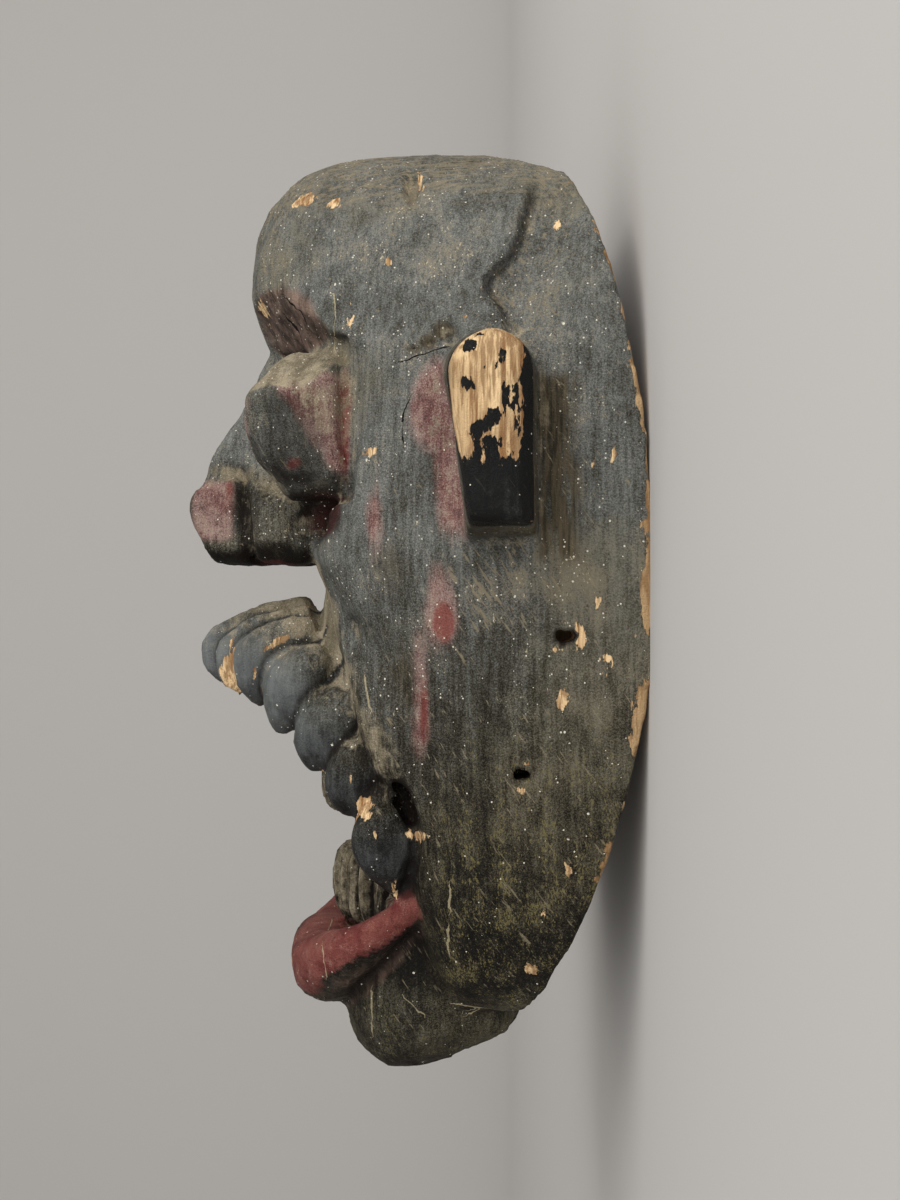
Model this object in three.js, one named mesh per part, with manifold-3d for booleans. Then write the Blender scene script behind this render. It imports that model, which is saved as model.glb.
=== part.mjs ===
// A carved wooden face mask lying on its hollowed back, face up.
// Millimetres. +X is the mask's own left, +Y its crown, +Z the way it faces.
// The rim's two flat spots rest on z = 0, and the origin is under the middle of the mask.
import * as THREE from "three";
import { mergeVertices } from "three/addons/utils/BufferGeometryUtils.js";
import Module from "manifold-3d";

const wasm = await Module();
wasm.setup();
const { clamp, lerp, smoothstep } = THREE.MathUtils;

// The block, sliced across from crown to jaw; each slice is an arch open at the rim
const CROWN_Y = 145.5;
const JAW_Y = -121;
const RIM_HALF_WIDTH = 86;
const OUTLINE = { middleY: 25, topPower: 2.4, bottomY: -128, bottomPower: 3 };
const SLICES = [
  CROWN_Y, 144.8, 143, 139.5, 134, 127, 118, 110, 102, 95, 89, 84, 81, 78, 72, 60, 46, 32, 20, 10,
  0, -12, -26, -40, -54, -68, -82, -94, -105, -113, -118, JAW_Y,
];
const ARCH_POINTS = 25;
const LEAST_SIZE = 0.5; // of a slice where the block ends
// Walls lean in by this much for each millimetre that they rise from the rim
const WALL_LEAN = 0.22;
const ARCH_POWER = { forehead: 3.2, face: 5.5 };
// The rim rises as a parabola away from where the mask rests, and turns up at the crown
const RIM = { restY: 4, crownRise: 25, jawRise: 34, flatSink: 1.4, crownTurn: 4 };
const FOREHEAD = { y: 106, z: 71, halfHeight: 40, depth: 48, power: 2.4 };
// Below the brow the front steps back; the brow droops towards the sides
const BROW = { high: 84, low: 77 };
const DROOP = { depth: 23, halfWidth: 64, startY: 76, fullY: 100, endY: 136 };
// The plain front between the features, as [y, z]
const FRONT = [[80, 90], [50, 91], [14, 97], [-8, 85], [-40, 75], [-63, 70], [-88, 68], [-125, 56]];

// The hollow behind, sliced the same way
const HOLLOW = { topY: 126, bottomY: -106, halfWidth: 75, power: 2.7, archPower: 2.8, floor: -20 };
const HOLLOW_ROOF = [
  [130, 50], [112, 86], [92, 84], [62, 71], [12, 76], [-28, 60], [-70, 48], [-108, 36],
];
const HOLLOW_END = 0.999; // the last slice stops just short of nothing
const HOLLOW_ROWS = 16;
const HOLLOW_POINTS = 15;

// Rounded carved masses: centre, half sizes, and the power of their squareness
const EYE_SOCKET = { at: [40, 56, 100], half: [25, 27, 20], power: 3.5 };
const EYE = { at: [39, 55, 89], half: [22, 22.5, 28], power: 2.7, turn: -0.12 };
const MUZZLE = { at: [0, -14, 60], half: [48, 52, 37], power: 2.6 };
const GUMS = { at: [0, -72, 62], half: [37, 36, 24], power: 2.6 };
const NOSE_WING = { at: [14, 27, 108], half: [10, 12, 10.5], power: 3 };

// The nose from between the brows down to its underside: y, front z and half width
const NOSE = [
  [94, 108, 7], [80, 116, 8], [67, 123, 9], [54, 133, 10.5], [46, 136.5, 11.5],
  [42, 137.5, 13], [34, 140, 14], [25, 138.5, 14], [19, 132, 12.5], [15.5, 122, 9],
];
const NOSE_BACK = 84;
const NOSE_POWER = 2.6;
const NOSE_SIDES = 12;

// The chin under the lip: y, half width, front z and back z
const CHIN = [
  [-88, 44, 80, 34], [-108, 43, 84, 31], [-123, 41, 88.5, 31.5], [-131, 38, 87.5, 34],
  [-139, 31, 83, 50], [-144, 21, 77, 60], [-146, 10, 72, 65],
];
const CHIN_POWER = 3;
const CHIN_SIDES = 16;

// Moustache locks from the middle outwards: root, belly and tip of each path, and half width
const LOCKS = [
  { path: [[4, 3, 100], [5, -8, 145], [5, -24, 126]], half: 5.4 },
  { path: [[12, 0, 99.5], [14.5, -9, 138], [12.5, -27, 121]], half: 5.4 },
  { path: [[20.5, -4, 98], [25, -9, 129], [20.5, -30, 114]], half: 6.4 },
  { path: [[32, -12, 94], [37, -17, 109], [28, -38, 108]], half: 7.6 },
  { path: [[41, -24, 88], [44, -35, 98], [37, -49, 96]], half: 7.6 },
  { path: [[48, -40, 82], [51, -50, 89], [44, -62, 84]], half: 6.6 },
  { path: [[51, -54, 75], [57, -66, 78], [48, -84, 69]], half: 8.4 },
];
const LOCK = { thick: 4.6, steps: 5, sides: 7 };
const LOCK_SWELL = { start: 0.1, end: 0.97, late: 1.3, bluntness: 0.55 };
const HOOD = { sink: 3, pathPoints: 5, axisZ: 62, inward: 0.5 };

// Teeth: two rows of bars on the gums
const TEETH = { perRow: 6, pitch: 9.6, half: [4.7, 13, 7], fallBack: 0.009, power: 3 };
const UPPER_TEETH = { y: -53, z: 90 };
const LOWER_TEETH = { y: -88, z: 86.5 };

// Lower lip: a trough's edge from corner to corner of the mouth
const LIP = { cornerX: 46, cornerY: -88, cornerZ: 65, frontY: -114, frontZ: 94, squareness: 0.8 };
const LIP_HALF_HEIGHT = { corner: 6.5, front: 12.5 };
const LIP_HALF_THICK = { corner: 6, front: 12.5 };
const LIP_STEPS = 14;
const LIP_SIDES = 10;

// Ears: tapering blocks on the side walls, outlined in (z, y)
const EAR = { rootX: 66, outerX: 105, front: 54.5, back: 33, top: 75, bottom: 24, neck: 4.5, waistY: 51 };
const EAR_TAPER = 0.82;
const EAR_BEVEL = 2;
const EAR_ARC_SEGMENTS = 7;
const EAR_BEVEL_SEGMENTS = 2;

// Cuts
const EAR_SCOOP = { at: [79, 44, 60], half: [10, 29, 9], power: 2, turn: 0.12 };
const EYE_RECESS = { at: [43, 27, 95], half: [21, 7, 15], power: 2.4 };
const SIGHT_SLIT = { at: [43, 27, 74], half: [11, 3, 22], power: 6 };
const MOUTH_CORNER_SLOT = { at: [57, -57, 68], half: [11, 6, 3.2], power: 5 };
const NOSTRIL = { at: [9, 13, 113], half: [4.5, 8, 6], power: 2.2 };
const TIE_HOLES = [{ y: -7, z: 23, radius: 2 }, { y: -46, z: 35, radius: 1.7 }];
const TIE_HOLE_LENGTH = 48;
const TIE_HOLE_SIDES = 8;
const FLOOR_CUT = { width: 400, height: 500, depth: 60 };

// How finely each rounded mass is cut: columns and rows
const FINE = [16, 11];
const MEDIUM = [11, 8];
const COARSE = [8, 6];
const TOOTH = [7, 5];

// Shape helpers

function signedPower(value, power) {
  return Math.sign(value) * Math.abs(value) ** power;
}

// What is left of 1 once a share has been taken, as on a superellipse.
function remainder(share, power) {
  return Math.max(1 - Math.min(Math.abs(share), 1) ** power, 0) ** (1 / power);
}

// A smooth function of y through stations given as [y, z], in falling order of y.
function alongY(stations) {
  const rising = [...stations].reverse();
  const heights = rising.map(([y]) => y);
  const interpolant = new THREE.CubicInterpolant(heights, rising.map(([, z]) => z), 1);
  return (y) => interpolant.evaluate(clamp(y, heights[0], heights.at(-1)))[0];
}

// A closed skin over rings of equal length; each end ring is fanned to its own middle.
function skin(rings) {
  const sides = rings[0].length;
  const middle = (ring) => ring.reduce((sum, p) => sum.add(p), new THREE.Vector3()).divideScalar(sides);
  const points = [...rings.flat(), middle(rings[0]), middle(rings.at(-1))];
  const firstMiddle = points.length - 2;
  const lastMiddle = points.length - 1;
  const lastRing = (rings.length - 1) * sides;
  const faces = [];
  for (let side = 0; side < sides; side++) {
    const next = (side + 1) % sides;
    faces.push(firstMiddle, next, side, lastMiddle, lastRing + side, lastRing + next);
    for (let ring = 0; ring < rings.length - 1; ring++) {
      const here = ring * sides;
      const there = here + sides;
      faces.push(here + side, here + next, there + next, here + side, there + next, there + side);
    }
  }
  return new THREE.BufferGeometry().setFromPoints(points).setIndex(faces);
}

// The points of an oval about a centre, in the plane of two half axes.
function oval(center, across, along, sides, power = 2) {
  const ring = [];
  for (let side = 0; side < sides; side++) {
    const turn = (side / sides) * 2 * Math.PI;
    const point = center.clone();
    point.addScaledVector(across, signedPower(Math.cos(turn), 2 / power));
    point.addScaledVector(along, signedPower(Math.sin(turn), 2 / power));
    ring.push(point);
  }
  return ring;
}

// A sphere pushed out to |x|^p + |y|^p + |z|^p = 1, then sized, turned about X and placed.
function roundedMass({ at, half, power, turn = 0 }, [columns, rows]) {
  const geometry = new THREE.SphereGeometry(1, columns, rows);
  const position = geometry.attributes.position;
  const point = new THREE.Vector3();
  for (let i = 0; i < position.count; i++) {
    point.fromBufferAttribute(position, i);
    const norm = Math.abs(point.x) ** power + Math.abs(point.y) ** power + Math.abs(point.z) ** power;
    point.multiplyScalar(norm ** (-1 / power));
    position.setXYZ(i, point.x, point.y, point.z);
  }
  return geometry.scale(...half).rotateX(turn).translate(...at);
}

// The closed surface as a manifold solid, its faces turned outwards.
function solid(geometry) {
  const bare = geometry.clone();
  bare.deleteAttribute("normal");
  bare.deleteAttribute("uv");
  const merged = mergeVertices(bare, 1e-4);
  const triVerts = new Uint32Array(merged.index.array);
  const vertProperties = merged.attributes.position.array;
  const make = () => new wasm.Manifold(new wasm.Mesh({ numProp: 3, vertProperties, triVerts }));
  const made = make();
  if (made.volume() > 0) return made;
  triVerts.reverse();
  return make();
}

// A geometry and its mirror image on the mask's right, as two solids.
function pair(geometry) {
  return [solid(geometry), solid(geometry.clone().scale(-1, 1, 1))];
}

function joined(solids) {
  return solids.reduce((whole, piece) => whole.add(piece));
}

// Carved forms

const plainFront = alongY(FRONT);
const hollowRoof = alongY(HOLLOW_ROOF);

function foreheadShare(y) {
  return smoothstep(y, BROW.low, BROW.high);
}

function frontHeight(y) {
  const rise = (y - FOREHEAD.y) / FOREHEAD.halfHeight;
  const forehead = FOREHEAD.z + FOREHEAD.depth * remainder(rise, FOREHEAD.power);
  return lerp(plainFront(y), forehead, foreheadShare(y));
}

function rimHeight(y) {
  const above = y > RIM.restY;
  const reach = above ? CROWN_Y - RIM.restY : RIM.restY - JAW_Y;
  const edge = (above ? RIM.crownRise : RIM.jawRise) * ((y - RIM.restY) / reach) ** 2 - RIM.flatSink;
  const turn = Math.max((y - FOREHEAD.y) / FOREHEAD.halfHeight, 0);
  return lerp(FOREHEAD.z, edge, remainder(turn, RIM.crownTurn));
}

function halfWidth(y) {
  const above = y > OUTLINE.middleY;
  const end = above ? CROWN_Y : OUTLINE.bottomY;
  const power = above ? OUTLINE.topPower : OUTLINE.bottomPower;
  return RIM_HALF_WIDTH * remainder((y - OUTLINE.middleY) / (end - OUTLINE.middleY), power);
}

// One slice: an arch from the left rim over the front to the right rim.
function arch(y, half, base, top, power, count) {
  const ring = [];
  for (let i = 0; i < count; i++) {
    const turn = (i / (count - 1)) * Math.PI;
    const z = lerp(base, top, Math.max(Math.sin(turn), 0) ** (2 / power));
    const wall = half * (1 - (WALL_LEAN * (z - base)) / RIM_HALF_WIDTH);
    ring.push(new THREE.Vector3(wall * signedPower(Math.cos(turn), 2 / power), y, z));
  }
  return ring;
}

function browDroop(y) {
  const fade = 1 - smoothstep(y, DROOP.fullY, DROOP.endY);
  return DROOP.depth * smoothstep(y, DROOP.startY, DROOP.fullY) * fade;
}

function body() {
  const rings = SLICES.map((y) => {
    const power = lerp(ARCH_POWER.face, ARCH_POWER.forehead, foreheadShare(y));
    const base = rimHeight(y);
    const top = Math.max(frontHeight(y), base + LEAST_SIZE);
    const ring = arch(y, Math.max(halfWidth(y), LEAST_SIZE), base, top, power, ARCH_POINTS);
    const droop = browDroop(y);
    for (const point of ring) {
      const risen = smoothstep(point.z, base, top);
      point.y -= droop * risen * (point.x / DROOP.halfWidth) ** 2;
    }
    return ring;
  });
  return solid(skin(rings));
}

function hollow() {
  const middleY = (HOLLOW.topY + HOLLOW.bottomY) / 2;
  const reach = (HOLLOW.topY - HOLLOW.bottomY) / 2;
  const rings = [];
  for (let row = 0; row <= HOLLOW_ROWS; row++) {
    const rise = Math.cos((row / HOLLOW_ROWS) * Math.PI) * HOLLOW_END;
    const y = middleY + reach * rise;
    const half = HOLLOW.halfWidth * remainder(rise, HOLLOW.power);
    rings.push(arch(y, half, HOLLOW.floor, hollowRoof(y), HOLLOW.archPower, HOLLOW_POINTS));
  }
  return solid(skin(rings));
}

// A level oval section at height y.
function section(y, half, front, back, sides, power) {
  const center = new THREE.Vector3(0, y, (front + back) / 2);
  const across = new THREE.Vector3(half, 0, 0);
  const along = new THREE.Vector3(0, 0, (front - back) / 2);
  return oval(center, across, along, sides, power);
}

function nose() {
  const rings = NOSE.map(([y, front, half]) => section(y, half, front, NOSE_BACK, NOSE_SIDES, NOSE_POWER));
  return solid(skin(rings));
}

function chin() {
  const rings = CHIN.map(([y, half, front, back]) => section(y, half, front, back, CHIN_SIDES, CHIN_POWER));
  return solid(skin(rings));
}

function lockPath({ path }) {
  return new THREE.QuadraticBezierCurve3(...path.map((p) => new THREE.Vector3(...p)));
}

// The frame of a path that winds round the mouth: its own direction, its width and its thickness.
function lockFrame(curve, along) {
  const point = curve.getPoint(along);
  const tangent = curve.getTangent(along);
  const belly = curve.getPoint(0.5);
  const wide = new THREE.Vector3(belly.z - HOOD.axisZ, 0, -belly.x).normalize();
  wide.addScaledVector(tangent, -wide.dot(tangent)).normalize();
  const thick = new THREE.Vector3().crossVectors(wide, tangent).normalize();
  return { point, wide, thick };
}

// One lock: an oval section carried from root to tip, fullest near its tip.
function lock(form) {
  const curve = lockPath(form);
  const rings = [];
  for (let step = 0; step <= LOCK.steps; step++) {
    const along = step / LOCK.steps;
    const { point, wide, thick } = lockFrame(curve, along);
    const phase = lerp(LOCK_SWELL.start, LOCK_SWELL.end, along ** LOCK_SWELL.late);
    const fullness = Math.sin(Math.PI * phase) ** LOCK_SWELL.bluntness;
    wide.multiplyScalar(form.half * fullness);
    thick.multiplyScalar(LOCK.thick * fullness);
    rings.push(oval(point, wide, thick, LOCK.sides));
  }
  return skin(rings);
}

// The hood that carries the locks: each section runs under a lock and back along its chord.
function hood() {
  const left = LOCKS.map((form) => {
    const curve = lockPath(form);
    const ring = [];
    for (let i = 0; i <= HOOD.pathPoints; i++) {
      const { point, thick } = lockFrame(curve, i / HOOD.pathPoints);
      ring.push(point.addScaledVector(thick, -HOOD.sink));
    }
    const [root, tip] = [ring[0], ring.at(-1)];
    ring.push(new THREE.Vector3(root.x * HOOD.inward, (root.y + tip.y) / 2, HOOD.axisZ));
    return ring;
  });
  const mirrored = left.map((ring) => ring.map((p) => new THREE.Vector3(-p.x, p.y, p.z)));
  return solid(skin([...left.reverse(), ...mirrored]));
}

function teeth() {
  const forms = [];
  for (const row of [UPPER_TEETH, LOWER_TEETH]) {
    for (let tooth = 0; tooth < TEETH.perRow; tooth++) {
      const x = (tooth - (TEETH.perRow - 1) / 2) * TEETH.pitch;
      const at = [x, row.y, row.z - TEETH.fallBack * x * x];
      forms.push(solid(roundedMass({ at, half: TEETH.half, power: TEETH.power }, TOOTH)));
    }
  }
  return joined(forms);
}

// The lip: an oval carried round the mouth from corner to corner.
function lowerLip() {
  const rings = [];
  for (let step = 0; step <= LIP_STEPS; step++) {
    const angle = Math.PI * (step / LIP_STEPS);
    const reach = Math.sin(angle);
    const center = new THREE.Vector3(
      LIP.cornerX * signedPower(Math.cos(angle), LIP.squareness),
      lerp(LIP.cornerY, LIP.frontY, reach),
      lerp(LIP.cornerZ, LIP.frontZ, reach));
    const outwards = new THREE.Vector3(Math.cos(angle), 0, reach).normalize();
    outwards.multiplyScalar(lerp(LIP_HALF_THICK.corner, LIP_HALF_THICK.front, reach));
    const halfHeight = lerp(LIP_HALF_HEIGHT.corner, LIP_HALF_HEIGHT.front, reach ** 2);
    const upwards = new THREE.Vector3(0, halfHeight, 0);
    rings.push(oval(center, outwards, upwards, LIP_SIDES));
  }
  return solid(skin(rings));
}

// An ear: its outline in (z, y) pushed out along X and drawn in towards its outer face.
function ear() {
  const halfDepth = (EAR.front - EAR.back) / 2;
  const centerZ = EAR.back + halfDepth;
  const centerY = (EAR.top + EAR.bottom) / 2;
  const crownStart = EAR.top - halfDepth;
  const outline = new THREE.Shape();
  outline.moveTo(EAR.back, EAR.bottom);
  outline.lineTo(EAR.front - EAR.neck, EAR.bottom);
  outline.lineTo(EAR.front - EAR.neck, EAR.waistY);
  outline.lineTo(EAR.front, crownStart);
  outline.absarc(centerZ, crownStart, halfDepth, 0, Math.PI, false);
  outline.closePath();
  const length = EAR.outerX - EAR.rootX;
  const extruded = new THREE.ExtrudeGeometry(outline, {
    depth: length - EAR_BEVEL,
    bevelThickness: EAR_BEVEL,
    bevelSize: EAR_BEVEL,
    bevelOffset: -EAR_BEVEL,
    bevelSegments: EAR_BEVEL_SEGMENTS,
    curveSegments: EAR_ARC_SEGMENTS,
  });
  extruded.deleteAttribute("normal");
  extruded.deleteAttribute("uv");
  const geometry = mergeVertices(extruded);
  const position = geometry.attributes.position;
  for (let i = 0; i < position.count; i++) {
    const out = position.getZ(i) / length;
    const draw = lerp(1 / EAR_TAPER, 1, Math.max(out, 0));
    const z = centerZ + (position.getX(i) - centerZ) * draw;
    const y = centerY + (position.getY(i) - centerY) * draw;
    position.setXYZ(i, EAR.rootX + position.getZ(i), y, z);
  }
  return geometry;
}

function tieHole({ y, z, radius }) {
  return new THREE.CylinderGeometry(radius, radius, TIE_HOLE_LENGTH, TIE_HOLE_SIDES)
    .rotateZ(Math.PI / 2)
    .translate(RIM_HALF_WIDTH, y, z);
}

function floorCut() {
  const { width, height, depth } = FLOOR_CUT;
  return solid(new THREE.BoxGeometry(width, height, depth).translate(0, 0, -depth / 2));
}

// The block with its sunk eye sockets, and then its carved masses, before it is hollowed
const block = joined([
  body().subtract(joined(pair(roundedMass(EYE_SOCKET, MEDIUM)))),
  ...pair(roundedMass(EYE, FINE)),
  solid(roundedMass(MUZZLE, MEDIUM)),
  solid(roundedMass(GUMS, COARSE)),
  chin(),
  nose(),
  ...pair(roundedMass(NOSE_WING, MEDIUM)),
  teeth(),
  lowerLip(),
  hood(),
  ...LOCKS.flatMap((form) => pair(lock(form))),
  ...pair(ear()),
]);

// Everything that the carver's tools took away
const cuts = joined([
  hollow(),
  ...pair(roundedMass(EAR_SCOOP, MEDIUM)),
  ...pair(roundedMass(EYE_RECESS, MEDIUM)),
  ...pair(roundedMass(SIGHT_SLIT, TOOTH)),
  ...pair(roundedMass(MOUTH_CORNER_SLOT, COARSE)),
  ...pair(roundedMass(NOSTRIL, COARSE)),
  ...TIE_HOLES.flatMap((hole) => pair(tieHole(hole))),
  floorCut(),
]);

// The finished solid as a geometry, its middle over the origin.
function geometryOf(manifold) {
  const { vertProperties, triVerts } = manifold.getMesh();
  const geometry = new THREE.BufferGeometry()
    .setAttribute("position", new THREE.BufferAttribute(vertProperties, 3))
    .setIndex(new THREE.BufferAttribute(triVerts, 1));
  geometry.computeBoundingBox();
  const middle = geometry.boundingBox.getCenter(new THREE.Vector3());
  return geometry.translate(-middle.x, -middle.y, 0);
}

const blackPaint = new THREE.MeshStandardMaterial({ color: 0x2f3434, roughness: 0.7, metalness: 0 });
const carved = new THREE.Mesh(geometryOf(block.subtract(cuts)), blackPaint);
carved.name = "mask";

const mask = new THREE.Group();
mask.add(carved);

export default mask;
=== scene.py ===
"""A carved and painted wooden face mask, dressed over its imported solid.

Shapes are worked out in millimetres, with +X the mask's own left, +Y its crown and +Z the way it faces,
and become metres when they go into the finished piece.
"""
import math

import bpy
import numpy as np
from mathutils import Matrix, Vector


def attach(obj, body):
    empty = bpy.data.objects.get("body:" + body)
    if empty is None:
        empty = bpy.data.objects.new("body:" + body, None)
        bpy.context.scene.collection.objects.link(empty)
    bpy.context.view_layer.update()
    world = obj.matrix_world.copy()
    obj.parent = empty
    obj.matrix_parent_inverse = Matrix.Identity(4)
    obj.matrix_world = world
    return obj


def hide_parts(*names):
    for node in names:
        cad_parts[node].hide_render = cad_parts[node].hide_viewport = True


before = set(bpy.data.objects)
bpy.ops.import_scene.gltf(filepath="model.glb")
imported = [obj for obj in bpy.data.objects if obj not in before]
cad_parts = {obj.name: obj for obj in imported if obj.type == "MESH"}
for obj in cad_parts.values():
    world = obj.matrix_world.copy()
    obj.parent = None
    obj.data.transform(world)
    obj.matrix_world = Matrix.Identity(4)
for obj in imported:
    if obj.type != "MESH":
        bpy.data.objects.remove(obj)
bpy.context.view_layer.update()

# Sizes of the block, as in the solid
METRE = 0.001
MIDDLE_Y = 0.25  # how far the finished mask is moved up to lie over the origin
CROWN_Y = 145.5
JAW_Y = -121.0
RIM_HALF_WIDTH = 86.0
OUTLINE = {"middle": 25, "top_power": 2.4, "bottom": -128, "bottom_power": 3}
WALL_LEAN = 0.22
ARCH_POWER = {"forehead": 3.2, "face": 5.5}
RIM = {"rest": 4, "crown_rise": 25, "jaw_rise": 34, "sink": 1.4, "crown_turn": 4}
FOREHEAD = {"y": 106, "z": 71, "half": 40, "depth": 48, "power": 2.4}
BROW = {"low": 77, "high": 84}
BROW_CUT = {"facing": (0.351, -0.597, 0.722), "through": (23.5, 97.0, 115.0)}
DROOP = {"depth": 23, "half_width": 64, "start": 76, "full": 100, "end": 136}
FRONT = [(80, 90), (50, 91), (14, 97), (-8, 85), (-40, 75), (-63, 70), (-88, 68), (-125, 56)]
HOLLOW = {"top": 126, "bottom": -106, "half_width": 75, "power": 2.7, "arch": 2.8, "floor": -20}
HOLLOW_ROOF = [(130, 50), (112, 86), (92, 84), (62, 71), (12, 76), (-28, 60), (-70, 48), (-108, 36)]
HOLLOW_MARGIN = 2.2  # how far beyond the hollow's plain form its own surface may lie
HOLLOW_ENDS = {"rings": 0.999, "inside": 0.98}  # shares of its half length
HOLLOW_DENTS = {"size": (15, 21, 15), "seed": 71, "depth": 1.5, "shallowest": 0.4, "lift": 0.5}

# Carved masses: centre, half sizes and squareness
EYE_SOCKET = {"at": (40, 55, 100), "half": (25, 25, 20), "power": 3.5}
EYE = {"at": (39, 55.5, 89), "half": (22, 23, 28), "power": 3.6}
MUZZLE = {"at": (0, -14, 60), "half": (48, 52, 37), "power": 2.6}
GUMS = {"at": (0, -72, 62), "half": (31, 36, 23), "power": 2.6}
NOSE_BULB = {"at": (0, 31, 121), "half": (16, 16.5, 18.7), "power": 3.8}
NOSE_WING = {"at": (13, 27, 107), "half": (11.5, 13, 12), "power": 3.4}
NOSE = [
    (94, 108, 7), (80, 116, 8), (67, 122.5, 9), (54, 131, 10), (46, 134, 10.5),
    (40, 134.5, 11), (34, 133, 11), (25, 130, 11), (19, 126, 10), (16.5, 120, 8),
]
NOSE_BACK = 84
CHIN = [
    (-88, 44, 80, 34), (-108, 43, 84, 31), (-123, 41, 88.5, 31.5), (-131, 38, 87.5, 34),
    (-139, 31, 83, 50), (-144, 21, 77, 60), (-146, 10, 72, 65),
]
LOCKS = [
    ((4, 3, 100), (5, -8, 145), (5, -24, 126), 5.2),
    ((12, 0, 99.5), (14.5, -9, 138), (12.5, -27, 121), 5.4),
    ((20.5, -4, 98), (25, -9, 129), (20.5, -30, 114), 7.6),
    ((32, -12, 94), (37, -17, 109), (28, -38, 108), 10.2),
    ((41, -24, 88), (44, -35, 98), (37, -49, 96), 9.8),
    ((48, -40, 82), (51, -50, 89), (44, -62, 84), 8.6),
    ((51, -54, 76), (58, -66, 80), (49, -87, 70), 9.4),
]
LOCK_BLUNTNESS = [0.55, 0.55, 0.55, 0.55, 0.55, 0.6, 1.1]
LOCK_THICK = 8.5
LOCK_REACH = 4.6  # how far a lock stands out from its path
LOCK_SWELL = {"start": 0.1, "end": 0.97, "late": 1.3}
LOCK_MARGIN = 1.6  # how far the black of a lock runs past it
HOOD = {"sink": 4.6, "axis_z": 62, "inward": 0.5, "back": 18}
CHEEK_FOLD = [
    (6, 31, 79, 14), (-10, 38, 75, 15.5), (-24, 45.5, 70, 16),
    (-40, 48, 66.5, 16), (-52, 50, 63, 14.5), (-64, 52, 57, 11.5),
]
TEETH = {"per_row": 13, "half": (3.0, 13, 7), "reach": 27, "spread": 1.22, "power": 2.6}
TOOTH_ROWS = [(-53, 63.5), (-88, 60)]
LIP = {"corner": (46, -88, 65), "front_y": -114, "front_z": 94, "squareness": 0.8}
LIP_HALF_HEIGHT = (6.5, 12.5)
LIP_HALF_THICK = (6, 12.5)
EAR = {"root": 66, "outer": 105, "front": 56, "back": 32.4, "top": 75, "bottom": 24, "neck": 6.2}
EAR_TAPER = 0.82
EAR_BEVEL = 3.2
EAR_BACK_CUT = {"z": 37.0, "slope": 0.95}
EAR_SCOOP = {"at": (79, 44, 60), "half": (10, 29, 9), "power": 2, "turn": 0.12}
EYE_RECESS = {"at": (36, 27, 97), "half": (15.5, 7.5, 16), "power": 2.4}
SIGHT_SLIT = {"at": (40, 27, 74), "half": (10, 3, 22), "power": 6}
MOUTH_SLOT = {"at": (57, -57, 68), "half": (11, 6.6, 2.3), "power": 6, "turn": 0.34}
NOSTRIL = {"at": (9, 13, 113), "half": (4.5, 8, 6), "power": 2.2}
TIE_HOLES = [(-7, 23, 2.0), (-46, 35, 1.7)]
BORE_SPAN = (60, 112)
SLAB = {"half_width": 150.0, "half_length": 220.0, "depth": 60.0}

# Flat cuts that a carver left on the masses: which way each faces, and how far out it lies
EYE_FACETS = [
    ((0.95, 0.12, -0.28), 16.8), ((0.90, -0.22, 0.38), 18.4), ((0.60, 0.74, 0.30), 22.2),
    ((0.20, 0.72, 0.66), 26.6), ((0.20, -0.60, 0.77), 24.4), ((0.62, -0.72, 0.30), 21.6),
    ((-0.60, 0.30, 0.74), 23.5),
]
BULB_FACETS = [
    ((0.96, 0.05, 0.28), 14.2), ((-0.96, 0.05, 0.28), 14.2), ((0.0, 0.62, 0.78), 17.5),
    ((0.0, -0.5, 0.87), 17.0), ((0.5, 0.72, 0.45), 16.8), ((-0.5, 0.72, 0.45), 16.8),
]
WING_FACETS = [
    ((0.97, 0.08, 0.1), 9.6), ((0.6, 0.72, 0.3), 11.4), ((0.66, -0.62, 0.3), 11.6), ((0.72, 0.05, 0.7), 11.6),
]
CUT_CRISPNESS = 44

# How finely the wood is meshed in millimetres, how often its points are smoothed, and what counts as an edge
GRAIN_STEP = 1.25
MOST_TRIANGLES = 190000
SMOOTHING = {"block": 2, "cheek": 24, "edge": 14}
SHARP_EDGE = math.radians(48)


def smoothstep(value, low, high):
    """0 below low, 1 above high, and an S-shaped rise between them."""
    share = np.clip((value - low) / (high - low), 0, 1)
    return share * share * (3 - 2 * share)


def blend(first, second, share):
    """The first value at share 0, the second at share 1, and a straight mix between."""
    return first + (second - first) * share


def remainder(share, power):
    """What is left of 1 once a share has been taken, as on a superellipse."""
    return (1 - np.minimum(np.abs(share), 1) ** power) ** (1 / power)


def signed_power(value, power):
    """The size raised to a power, with its sign kept."""
    return np.sign(value) * np.abs(value) ** power


def unit(vectors):
    """Vectors brought to length one."""
    return vectors / np.maximum(np.linalg.norm(vectors, axis=-1, keepdims=True), 1e-9)


def bell(value, width):
    """A bell curve: 1 at nothing, falling off over a width."""
    return np.exp(-((value / width) ** 2))


def folded(points):
    """Points with those on the mask's right brought over to its left."""
    return np.concatenate([np.abs(points[:, :1]), points[:, 1:]], axis=1)


def curve_through(stations, at):
    """Values along a smooth curve: cubic pieces between stations, with the mean slope at each station."""
    table = np.array(sorted(stations), float)
    where = table[:, 0]
    values = table[:, 1:]
    slopes = np.gradient(values, where, axis=0)
    at = np.clip(at, where[0], where[-1])
    piece = np.clip(np.searchsorted(where, at) - 1, 0, len(where) - 2)
    width = (where[piece + 1] - where[piece])[..., None]
    part = (at - where[piece])[..., None] / width
    rest = 1 - part
    start = values[piece] * (1 + 2 * part) * rest**2 + slopes[piece] * width * part * rest**2
    end = values[piece + 1] * part**2 * (1 + 2 * rest) - slopes[piece + 1] * width * part**2 * rest
    return start + end


# Repeatable unevenness

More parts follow.
